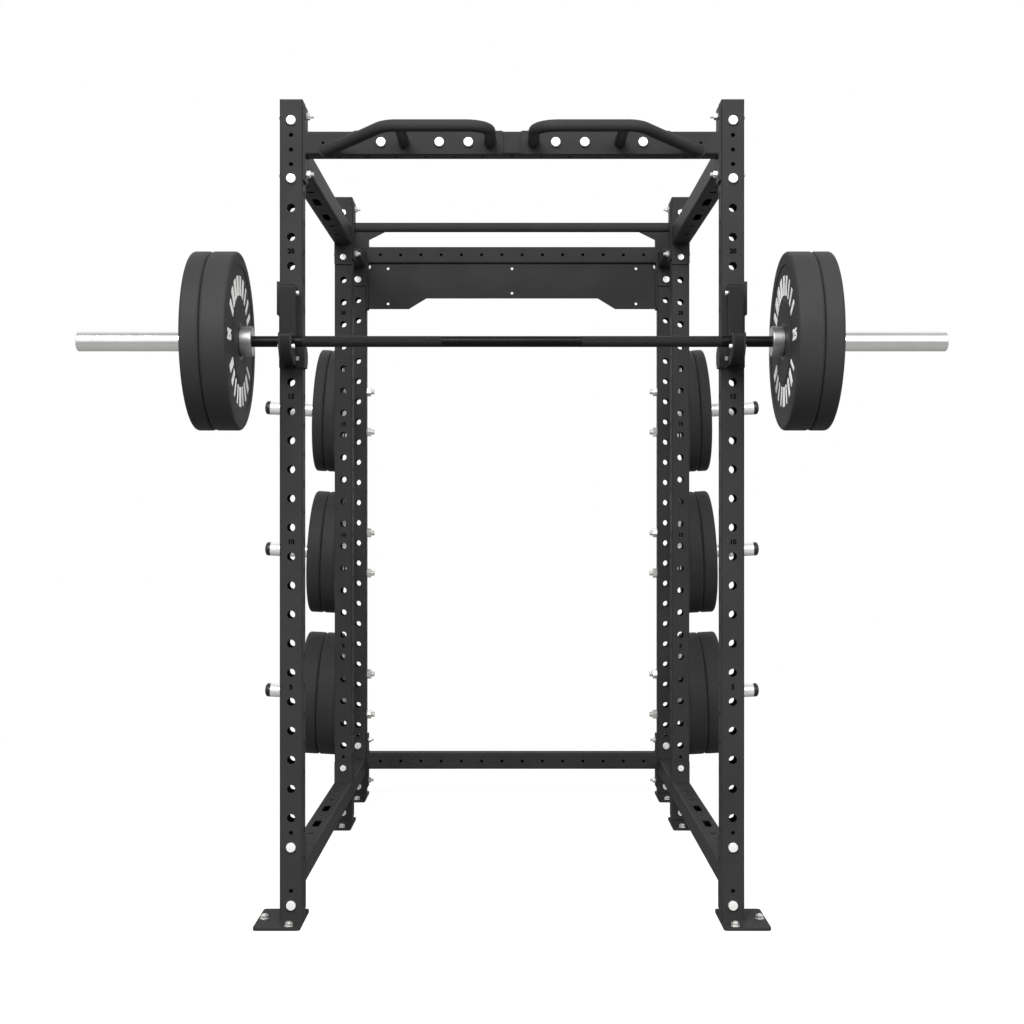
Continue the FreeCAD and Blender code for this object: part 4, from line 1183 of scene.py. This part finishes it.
def sign_outline():
    """Anticlockwise. The left side mirrors the right one."""
    reach, top, low = sign_high.x, sign_high.z, sign_low.z
    middle_low, notch = top - 0.13, 0.0095
    right = [(0.318, middle_low), (0.383, low), (reach, low)]
    right += [(reach - notch * math.sin(turn), top - 0.012 - notch * math.cos(turn))
              for turn in (math.radians(20 * step) for step in range(10))]
    right.append((reach, top))
    return [(-x, z) for x, z in reversed(right)] + right


sign_spots = [(0, sign_high.z - sign_inset), (0, sign_high.z - 0.1105)]
sign_spots += [(side * 0.46, z) for side in (-1, 1)
               for z in (sign_high.z - sign_inset, sign_low.z + sign_inset)]
sign = drilled_plate("sign_plate_drilled", sign_outline(), [(x, z, sign_hole) for x, z in sign_spots],
                     sign_high.y - sign_low.y, corner=0.0)
settle(stood(sign, 0, sign_high.y, 0), "rack", "frame_paint", "sign_plate")
print("holes in the bare plate:", len(sign_spots))

# %% [markdown]
# ## Grip wings
#
# In front of the top beam two tubes bend outward and back. They give hands several grips, wide
# and narrow. A bent tube is a path with rounded corners and a ring swept along it, so that is
# the tree: edges to a curve, corners filleted, ring swept. What reaches behind the plate's face
# is cut off there.

# %% Geometry Nodes: a bent tube
def make_bent_tube():
    tree, size, done = start_tree("Bent tube", "GeometryNodeTree", {
        "Path": "Geometry", "Radius": 0.015, "Bend": 0.06, "Finish": "Material"}, ["Tube"])
    line = rounded_curve(tree, edge_curve(tree, size["Path"]), size["Bend"], 12, limit=True)
    body = swept(tree, line, circle_curve(tree, size["Radius"]))
    return end_tree(tree, [body], size["Finish"], done["Tube"])


bent_tube_tree = make_bent_tube()


def bent_tube(name, path, radius, bend):
    """A painted tube along a path, with its corners bent by a radius."""
    edges = [(i, i + 1) for i in range(len(path) - 1)]
    return grown(name, bent_tube_tree, points_mesh(name, path, edges), Radius=radius, Bend=bend,
                 Finish=powder_coat)


def cut_off(piece, point, normal):
    """Removes what lies on the side that the normal points to, and closes the cut."""
    bm = bmesh.new()
    bm.from_mesh(piece.data)
    bmesh.ops.remove_doubles(bm, verts=bm.verts, dist=1e-6)
    cut = bmesh.ops.bisect_plane(bm, geom=bm.verts[:] + bm.edges[:] + bm.faces[:], plane_co=point,
                                 plane_no=normal, clear_outer=True)
    edges = [item for item in cut["geom_cut"] if isinstance(item, bmesh.types.BMEdge)]
    bmesh.ops.edgeloop_fill(bm, edges=edges)
    bm.to_mesh(piece.data)
    bm.free()
    return piece


# %% Two wings
grip_tip = depths["front"] - 0.181
inner_end, strut_x, bend_x, outer_end = 0.056, 0.278, 0.315, 0.476
grip_drop = 0.022
wing_radius, strut_radius, wing_bend = 0.015, 0.014, 0.06
seam_out = 0.0005
wing_outline = [(0.023, -0.03), (0.5, -0.03), (0.5, -0.014), (0.405, 0.03), (0.023, 0.03)]


def right_wing():
    """Main tube, strut, plate and beads of the right wing."""
    slant = Vector((outer_end - bend_x, grip_face - grip_tip, -grip_drop))
    past = Vector((bend_x, grip_tip, grip_z)) + slant * 1.12
    path = [(inner_end, grip_face + 0.01, grip_z), (inner_end, grip_tip, grip_z),
            (bend_x, grip_tip, grip_z), tuple(past)]
    tube_piece = cut_off(bent_tube("wing_tube", path, wing_radius, wing_bend), (0, grip_face, 0), (0, 1, 0))
    strut = bent_tube("wing_strut", [(strut_x, grip_tip, grip_z), (strut_x, grip_face, grip_z)],
                      strut_radius, 0.0)
    holes = [(x, 0, cross_clearance) for x in grip_bolt_x]
    plate = drilled_plate("wing_plate", wing_outline, holes, grip_plate_thick)
    stood(plate, 0, depths["front"], grip_z)

    def seam(x, z, radius):
        return circle_seam((x, grip_face, z), radius + seam_out, (0, 1, 0))

    stretch = slant.length / slant.y    # the slanting tube meets the plate in an ellipse
    outer_seam = [Vector((outer_end + (point.x - outer_end) * stretch, point.y, point.z))
                  for point in seam(outer_end, grip_z - grip_drop, wing_radius)]
    seams = [seam(inner_end, grip_z, wing_radius), seam(strut_x, grip_z, strut_radius), outer_seam]
    beads = weld("wing_seams", seams, 0.0026, closed=True)
    return joined("right_grip_wing_welded", [tube_piece, strut, plate, beads])


right_grip = right_wing()
left_grip = mirrored_copy(right_grip, "left_grip_wing_welded")
settle(right_grip, "rack", "frame_paint", "right_grip_wing")
settle(left_grip, "rack", "frame_paint", "left_grip_wing")
print("faces of one wing:", len(right_grip.data.polygons))

# %% [markdown]
# ## Cups that hold the bar
#
# The cup is a steel bracket that clips round the front upright, with a hook of wear plastic
# between two steel cheeks. The plastic stands a little proud, so the bar never touches steel.
# Both keep their exact shape and get eased edges, the plastic a rounder one than the steel.

# %% Brackets and cores
for side in ("left", "right"):
    settle(eased_copy(side + "_cup_bracket", 0.0006), "rack", "frame_paint", side + "_cup_bracket")
settle(eased_copy("cup_cores", 0.0012, 3, cup_plastic), "rack", "black_plastic", "cup_cores")

# %% [markdown]
# ## Storage pegs
#
# Spare plates hang on bright plated tubes at the back of the cage. A peg has a stop collar by
# the base plate and a domed plastic cap at its end, and it tilts up a little so plates stay on.
# Pegs and plates are turned shapes, built upright and laid along the peg.

# %% Pegs and their caps
peg_tilt = math.radians(3)
peg_length = 0.292
peg_cap = 0.021
peg_direction = Vector((math.cos(peg_tilt), 0, math.sin(peg_tilt)))
sleeve_radius = 0.025
collar_radius = 0.038
collar_length = 0.03


def peg_matrix(level, side, distance=0.0):
    """Lays a piece's Z along a peg, from a distance out from its base plate."""
    direction = Vector((side * peg_direction.x, 0, peg_direction.z))
    start = Vector((side * (outer_x + flange_thick), rear_line, peg_heights[level])) + direction * distance
    across = Vector((0, side, 0))
    return line_frame(start, across, direction.cross(across), direction)


def peg_rings():
    """Closed section of the tube and its collar. It starts inside the base plate and is cut there."""
    inner = sleeve_radius - 0.004
    rings = [(inner, -0.006), (collar_radius, -0.006), (collar_radius, 0.027)]
    rings += rounded_corner(collar_radius - 0.003, 0.027, 0.003, 0, 90)[1:]
    rings += [(sleeve_radius + 0.0015, collar_length), (sleeve_radius, collar_length + 0.0012)]
    return rings + [(sleeve_radius, peg_length), (inner, peg_length)]


def cap_rings():
    """Plug inside the tube, a thin lip on its end and a low dome."""
    inner, dome = sleeve_radius - 0.0045, 0.0115
    end = peg_length + peg_cap
    rings = [(inner, peg_length - 0.02), (inner, peg_length), (sleeve_radius - 0.0005, peg_length),
             (sleeve_radius, peg_length + 0.0008)]
    turns = [math.radians(10 * step) for step in range(9)]
    rings += [(sleeve_radius * math.cos(turn), end - dome + dome * math.sin(turn)) for turn in turns]
    return rings + [(0, end)]


pegs, caps = [], []
for level in peg_heights:
    for side in (-1, 1):
        peg = ring_shape("peg", peg_rings(), 48, hollow=True, finish=bright_plate)
        laid(peg, peg_matrix(level, side))
        plate_face = (side * (outer_x + flange_thick), 0, 0)
        pegs.append(cut_off(peg, plate_face, (-side, 0, 0)))
        caps.append(laid(ring_shape("cap", cap_rings(), 40, finish=cap_plastic), peg_matrix(level, side)))
settle(joined("storage_pegs_turned", pegs), "rack", slot_of["storage_pegs"], "storage_pegs")
settle(joined("peg_caps_turned", caps), "rack", slot_of["peg_caps"], "peg_caps")
print("peg slots:", slot_of["storage_pegs"], slot_of["peg_caps"])

# %% [markdown]
# ## Weight plates
#
# Bumper plates are thick discs of moulded rubber on a steel bush. The tread is rounded at both
# edges. Each face has a full rim, a full middle and a shallow ring between them, where the
# white marks stand up. The marks here are plain: two arcs of blocks, and the plate's weight.

# %% Rubber and bush of one plate
plate_radius = 0.225
hub_radius = 0.047
rim_inner = plate_radius - 0.032
land = 0.104
recess = 0.0025


def both_faces(lower, thickness):
    """A closed section whose upper face is like its lower one."""
    return lower + [(radius, thickness - height) for radius, height in reversed(lower)]


def disc_rings(thickness):
    """Closed section of the rubber, from the bush outward and back."""
    ease, edge = 0.0012, 0.0085
    lower = [(hub_radius, 0), (land - ease, 0), (land, 0.3 * ease), (land + recess, recess - 0.2 * ease)]
    lower += [(land + recess + ease, recess), (rim_inner - recess - ease, recess)]
    lower += [(rim_inner - recess, recess - 0.2 * ease), (rim_inner - ease, 0.3 * ease), (rim_inner, 0)]
    lower += rounded_corner(plate_radius - edge, edge, edge, -90, 0, 6)
    return both_faces(lower, thickness)


def hub_rings(thickness):
    """Closed section of the bush, with a worn lead-in at the bore."""
    bore, lead = 0.0252, 0.0015
    lower = [(bore, lead), (bore + lead, 0), (hub_radius - 0.001, 0), (hub_radius, 0)]
    return both_faces(lower, thickness)


# %% Geometry Nodes: raised blocks round an arc
def make_marks():
    tree, size, done = start_tree("Blocks round an arc", "GeometryNodeTree", {
        "Start": "Geometry", "Radius": 0.143, "Count": 9, "From": 0.0, "Sweep": 1.6, "Block Width": 0.016,
        "Block Height": 0.036, "Relief": 0.0008, "Seed": 1, "Finish": "Material"}, ["Marks"])
    arc = add_step(tree, "GeometryNodeCurveArc", {
        "Resolution": size["Count"], "Radius": size["Radius"], "Start Angle": size["From"],
        "Sweep Angle": size["Sweep"]})
    points = add_step(tree, "GeometryNodeCurveToPoints", {"Curve": arc.outputs["Curve"]}, mode="EVALUATED")
    block = rounded_curve(tree, box_curve(tree, size["Block Width"], size["Block Height"]), 0.002, 3)
    slab = thickened(tree, filled(tree, [block]), size["Relief"])
    place = add_step(tree, "GeometryNodeInputPosition").outputs["Position"]
    outward = add_step(tree, "FunctionNodeAlignRotationToVector", {"Vector": place}, axis="Y")
    width = vector(tree, random_between(tree, size["Seed"], 0.35, 1.0), 1.0, 1.0)
    placed = on_each_point(tree, points.outputs["Points"], slab, Rotation=outward.outputs["Rotation"],
                           Scale=width)
    return end_tree(tree, [placed], size["Finish"], done["Marks"])


marks_tree = make_marks()

# %% White marks of one face
def flat_text(name, words, height, relief, finish):
    """Figures as a thin raised mesh, centred on the origin in the XY plane."""
    curve = bpy.data.curves.new(name, "FONT")
    curve.body = words
    curve.size = height
    curve.align_x, curve.align_y = "CENTER", "CENTER"
    curve.extrude = relief / 2
    curve.offset = 0.045 * height
    curve.resolution_u = 3
    words_object = add_object(name, curve)
    mesh = as_it_shows(words_object)
    bpy.data.objects.remove(words_object)
    mesh.materials.clear()
    mesh.materials.append(finish)
    return add_object(name, mesh)


mark_relief = 0.0009
mark_radius = 0.1405
figure_height, figure_x, figure_stretch = 0.036, 0.155, 1.5


def face_marks(weight):
    """Two arcs of blocks and two figures, standing on z = 0 about the plate's middle."""
    parts = []
    for turn, seed in ((math.radians(30), 1), (math.radians(210), 7)):
        start = points_mesh("arc", [(0, 0, 0)])
        parts.append(grown("arc", marks_tree, start, Radius=mark_radius, Count=9, From=turn,
                           Sweep=math.radians(120), Block_Width=0.026, Block_Height=0.05,
                           Relief=mark_relief, Seed=seed, Finish=white_marks_painted_light))
    for side in (-1, 1):
        figures = flat_text("weight", str(weight), figure_height, mark_relief, white_marks_painted_light)
        place = Matrix.Translation((side * figure_x, 0, mark_relief / 2))
        parts.append(laid(figures, place @ Matrix.Diagonal((figure_stretch, 1, 1, 1))))
    return joined("marks", parts)


# %% Loads on the bar and on the pegs
weight_of = {0.065: 25, 0.05: 20, 0.048: 20, 0.04: 15}


def build_load(name, thicknesses, place, body):
    """Plates one after another from z = 0, laid by a matrix. Marks stand on the two outer faces."""
    rubber, bushes = [], []
    start = 0.0
    for thickness in thicknesses:
        for parts, rings, finish in ((rubber, disc_rings, plate_rubber), (bushes, hub_rings, hub_steel)):
            turned = ring_shape(name, rings(thickness), 96, hollow=True, finish=finish)
            parts.append(lifted(turned, start))
        start += thickness
    far = face_marks(weight_of[thicknesses[-1]])
    rubber.append(lifted(far, start - recess))
    near = face_marks(weight_of[thicknesses[0]])
    rubber.append(laid(near, Matrix.Translation((0, 0, recess)) @ Matrix.Rotation(math.pi, 4, "Y")))
    plates = laid(joined(name + "_moulded", rubber), place)
    hubs = laid(joined(name + "_bushes", bushes), place)
    settle(plates, body, "plate_rubber", name)
    settle(hubs, body, "hub_steel", name.replace("plates", "plate_hubs"))


def bar_matrix(x, side):
    """Lays a piece's Z along the bar, outward, from a distance x. Its Y stays upright."""
    return line_frame((side * x, bar_y, bar_z), (0, side, 0), (0, 0, 1), (side, 0, 0))


stored = {"bottom": (0.065, 0.065), "middle": (0.05, 0.05), "top": (0.04, 0.04)}
collar_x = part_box("right_bar_sleeve")[0].x
for side, word in SIDES:
    for level, thicknesses in stored.items():
        name = word + "_stored_" + level + "_plates"
        build_load(name, thicknesses, peg_matrix(level, side, collar_length), body_of[name])
    name = word + "_bar_plates"
    build_load(name, (0.065, 0.048), bar_matrix(collar_x + collar_length, side), body_of[name])
print("plates:", 2 * (2 * len(stored) + 2), "bodies:", sorted(set(body_of.values())))

# %% [markdown]
# ## The barbell
#
# A barbell is a long shaft that spins inside two sleeves. The sleeve is chromed and keeps the
# fine lines of its turning, so plates grip. A wide collar stops the plates. It has a shallow
# groove and rounded edges.

# %% Shaft, sleeves and end caps
shaft_end = shaft_high.x
sleeve_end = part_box("right_bar_sleeve")[1].x
cap_start, cap_end = (corner.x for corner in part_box("right_sleeve_cap"))
sleeve_bore = 0.018


def shaft_rings():
    """Section of the shaft from end to end, with eased ends."""
    ease = 0.0012
    half = [(bar_radius, 0.54), (bar_radius, 0.18)]
    right = [(0, shaft_end), (bar_radius - ease, shaft_end), (bar_radius, shaft_end - ease)] + half
    return [(radius, -x) for radius, x in right] + [(radius, x) for radius, x in reversed(right)]


def collar_rings():
    """The wide ring that stops the plates, with a rounded rim and a shallow groove."""
    ease = 0.0025
    rings = [(sleeve_bore, 0), (collar_radius - ease, 0)]
    rings += rounded_corner(collar_radius - ease, ease, ease, -90, 0, 5)[1:]
    rings += [(collar_radius, 0.0215), (collar_radius - 0.0008, 0.0222), (collar_radius - 0.0008, 0.0238),
              (collar_radius, 0.0245)]
    rings += rounded_corner(collar_radius - 0.0015, 0.0285, 0.0015, 0, 90, 3)
    return rings + [(sleeve_bore, collar_length)]


def sleeve_rings(length):
    """Closed section of the sleeve, from the collar to its end."""
    ease = 0.0004
    rings = [(sleeve_bore, collar_length), (sleeve_radius + 0.001, collar_length), (sleeve_radius, 0.031)]
    return rings + [(sleeve_radius, length - ease), (sleeve_radius - ease, length), (sleeve_bore, length)]


def end_cap_rings(length):
    """Plug of the sleeve's end. Its rim is a quarter of an ellipse, wider than it is long."""
    rim, wide = 0.006, 0.008
    rings = [(0.0178, 0), (0.0178, length - rim), (sleeve_radius - 0.0004, length - rim)]
    rings += [(sleeve_radius - wide + wide * math.cos(turn), length - rim + rim * math.sin(turn))
              for turn in (math.radians(11.25 * i) for i in range(1, 9))]
    return rings + [(0.013, length), (0.012, length - 0.001), (0, length - 0.001)]


shaft = laid(ring_shape("bar_shaft_turned", shaft_rings(), 48, finish=bar_oxide), bar_matrix(0, 1))
settle(shaft, body_of["bar_shaft"], slot_of["bar_shaft"], "bar_shaft")
for side, word in SIDES:
    name = word + "_bar_sleeve"
    sleeve = joined(name + "_turned", [
        ring_shape("collar", collar_rings(), 64, hollow=True, finish=collar_steel),
        ring_shape("sleeve", sleeve_rings(sleeve_end - collar_x), 64, hollow=True, finish=chrome)])
    settle(laid(sleeve, bar_matrix(collar_x, side)), body_of[name], slot_of[name], name)
    name = word + "_sleeve_cap"
    cap = ring_shape(name + "_turned", end_cap_rings(cap_end - cap_start), 48, finish=finishes[slot_of[name]])
    settle(laid(cap, bar_matrix(cap_start, side)), body_of[name], slot_of[name], name)
print("shaft to", round(shaft_end, 4), "sleeve to", round(sleeve_end, 4), "cap to", round(cap_end, 4))

# %% [markdown]
# ## Numbers beside the holes
#
# Every fifth hole has its number, so both cups go in at the same height. The figures are cut
# shallow into the face. Each is drawn as a thin black sheet on the face: painted shade for the dark inside
# the cut.

# %% Hole numbers
# Each figure is a thin black sheet just proud of the upright's face, painted shade for the cut.
figures = []
for place in ("front", "middle"):
    for number in (5, 10, 15, 20):
        for side in (-1, 1):
            figures.append(stood(flat_text("figures", str(number), 0.0175, 0.0003, painted_cut_shade),
                                 side * upright_x, depths[place] - 0.0001, row_height(number + 2.5)))
print("numbers:", len(figures))
settle(joined("hole_numbers", figures), "rack", "frame_paint")

# %% [markdown]
# ## Light, floor and camera
#
# Studio pictures of gym steel are taken on a white floor that runs into a white wall. The world
# is white for the camera and for reflections. As a light it is dimmer, and it fades toward the
# top, because black steel that looks up at an open white sky turns grey. Two wide lamps in front
# light the faces, a small one above gives the top faces their edge, and a weak one behind parts
# the rear frame from the middle one. The floor takes a shadow near the object and turns into the
# white of the wall further out, so no horizon shows.

# %% White world
def make_world():
    world = bpy.data.worlds.new("Studio")
    world.use_nodes = True
    tree = world.node_tree
    background = tree.nodes["Background"]
    rays = add_step(tree, "ShaderNodeLightPath").outputs
    seen = maths(tree, "MAXIMUM", rays["Is Camera Ray"],
                 maths(tree, "MAXIMUM", rays["Is Glossy Ray"], rays["Is Transmission Ray"]))
    background.inputs["Color"].default_value = (1.0, 1.0, 1.0, 1.0)
    height = add_step(tree, "ShaderNodeTexCoord").outputs["Generated"]
    height = add_step(tree, "ShaderNodeSeparateXYZ", {0: height}).outputs["Z"]
    strength = maths(tree, "MAXIMUM", ramp(tree, height, 0.1, 0.9, 0.72, 0.1), seen)
    ceiling = maths(tree, "MULTIPLY", ramp(tree, height, 0.9, 0.99, 0.0, 0.65),
                    maths(tree, "SUBTRACT", 1.0, rays["Is Camera Ray"]))
    strength = maths(tree, "MULTIPLY", strength, maths(tree, "SUBTRACT", 1.0, ceiling))
    connect(tree, background.inputs, Strength=strength)
    bpy.context.scene.world = world


make_world()

# %% Pale floor that fades into the wall
fade_from, fade_to = 1.9, 3.4


def make_floor():
    mesh = bpy.data.meshes.new("floor")
    reach = 14.0
    corners = [(-reach, -reach, 0), (reach, -reach, 0), (reach, 3 * reach, 0), (-reach, 3 * reach, 0)]
    mesh.from_pydata(corners, [], [(0, 1, 2, 3)])
    floor = add_object("floor", mesh)
    material = bpy.data.materials.new("Studio floor")
    material.use_nodes = True
    tree = material.node_tree
    tree.nodes.remove(tree.nodes["Principled BSDF"])
    matt = add_step(tree, "ShaderNodeBsdfDiffuse", {"Color": (0.33, 0.325, 0.315, 1.0)}).outputs["BSDF"]
    rays = add_step(tree, "ShaderNodeLightPath").outputs
    lift = maths(tree, "ADD", maths(tree, "MULTIPLY", rays["Is Camera Ray"], 0.88),
                 maths(tree, "MULTIPLY", rays["Is Glossy Ray"], 0.12))
    lift = add_step(tree, "ShaderNodeEmission", {"Strength": lift})
    near = add_step(tree, "ShaderNodeAddShader", {0: matt, 1: lift.outputs["Emission"]}).outputs["Shader"]
    seen = maths(tree, "MAXIMUM", rays["Is Camera Ray"],
                 maths(tree, "MULTIPLY", rays["Is Glossy Ray"], 0.5))
    far = add_step(tree, "ShaderNodeEmission", {"Strength": seen}).outputs["Emission"]
    distance = add_step(tree, "ShaderNodeVectorMath", {0: object_place(tree)}, operation="LENGTH")
    fade = ramp(tree, distance.outputs["Value"], fade_from, fade_to)
    both = add_step(tree, "ShaderNodeMixShader", {0: fade, 1: near, 2: far})
    connect(tree, tree.nodes["Material Output"].inputs, Surface=both.outputs["Shader"])
    mesh.materials.append(material)


make_floor()

# %% Lamps and camera
def area_lamp(name, place, target, size, power):
    """A round lamp that looks from its place at a target, with its width and its watts."""
    data = bpy.data.lights.new(name, "AREA")
    data.shape, data.size, data.energy = "DISK", size, power
    lamp = add_object(name, data)
    lamp.location = place
    lamp.rotation_euler = (Vector(target) - Vector(place)).to_track_quat("-Z", "Y").to_euler()


area_lamp("key", (-2.4, -7.6, 6.4), (0, 0, 1.3), 5.0, 700)
area_lamp("fill", (3.8, -6.8, 4.8), (0, 0, 1.2), 5.0, 285)
area_lamp("top", (0.0, -2.5, 3.4), (0, -0.5, 1.7), 1.8, 20)
area_lamp("back", (0.0, 3.8, 4.0), (0, 0.3, 1.2), 3.0, 16)

camera_data = bpy.data.cameras.new("camera")
camera_data.lens, camera_data.sensor_width = 55.34, 36.0
camera_data.clip_end = 100.0
camera = add_object("camera", camera_data)
camera.location = (0.0, -4.92, 1.065)
camera.rotation_euler = (math.pi / 2, 0.0, 0.0)
bpy.context.scene.camera = camera
bpy.context.scene.view_settings.view_transform = "Standard"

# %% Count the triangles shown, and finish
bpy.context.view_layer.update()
shown = [piece for piece in bpy.context.scene.objects if piece.type == "MESH" and not piece.hide_render]
print("triangles shown:", sum(len(face.vertices) - 2 for piece in shown for face in piece.data.polygons))
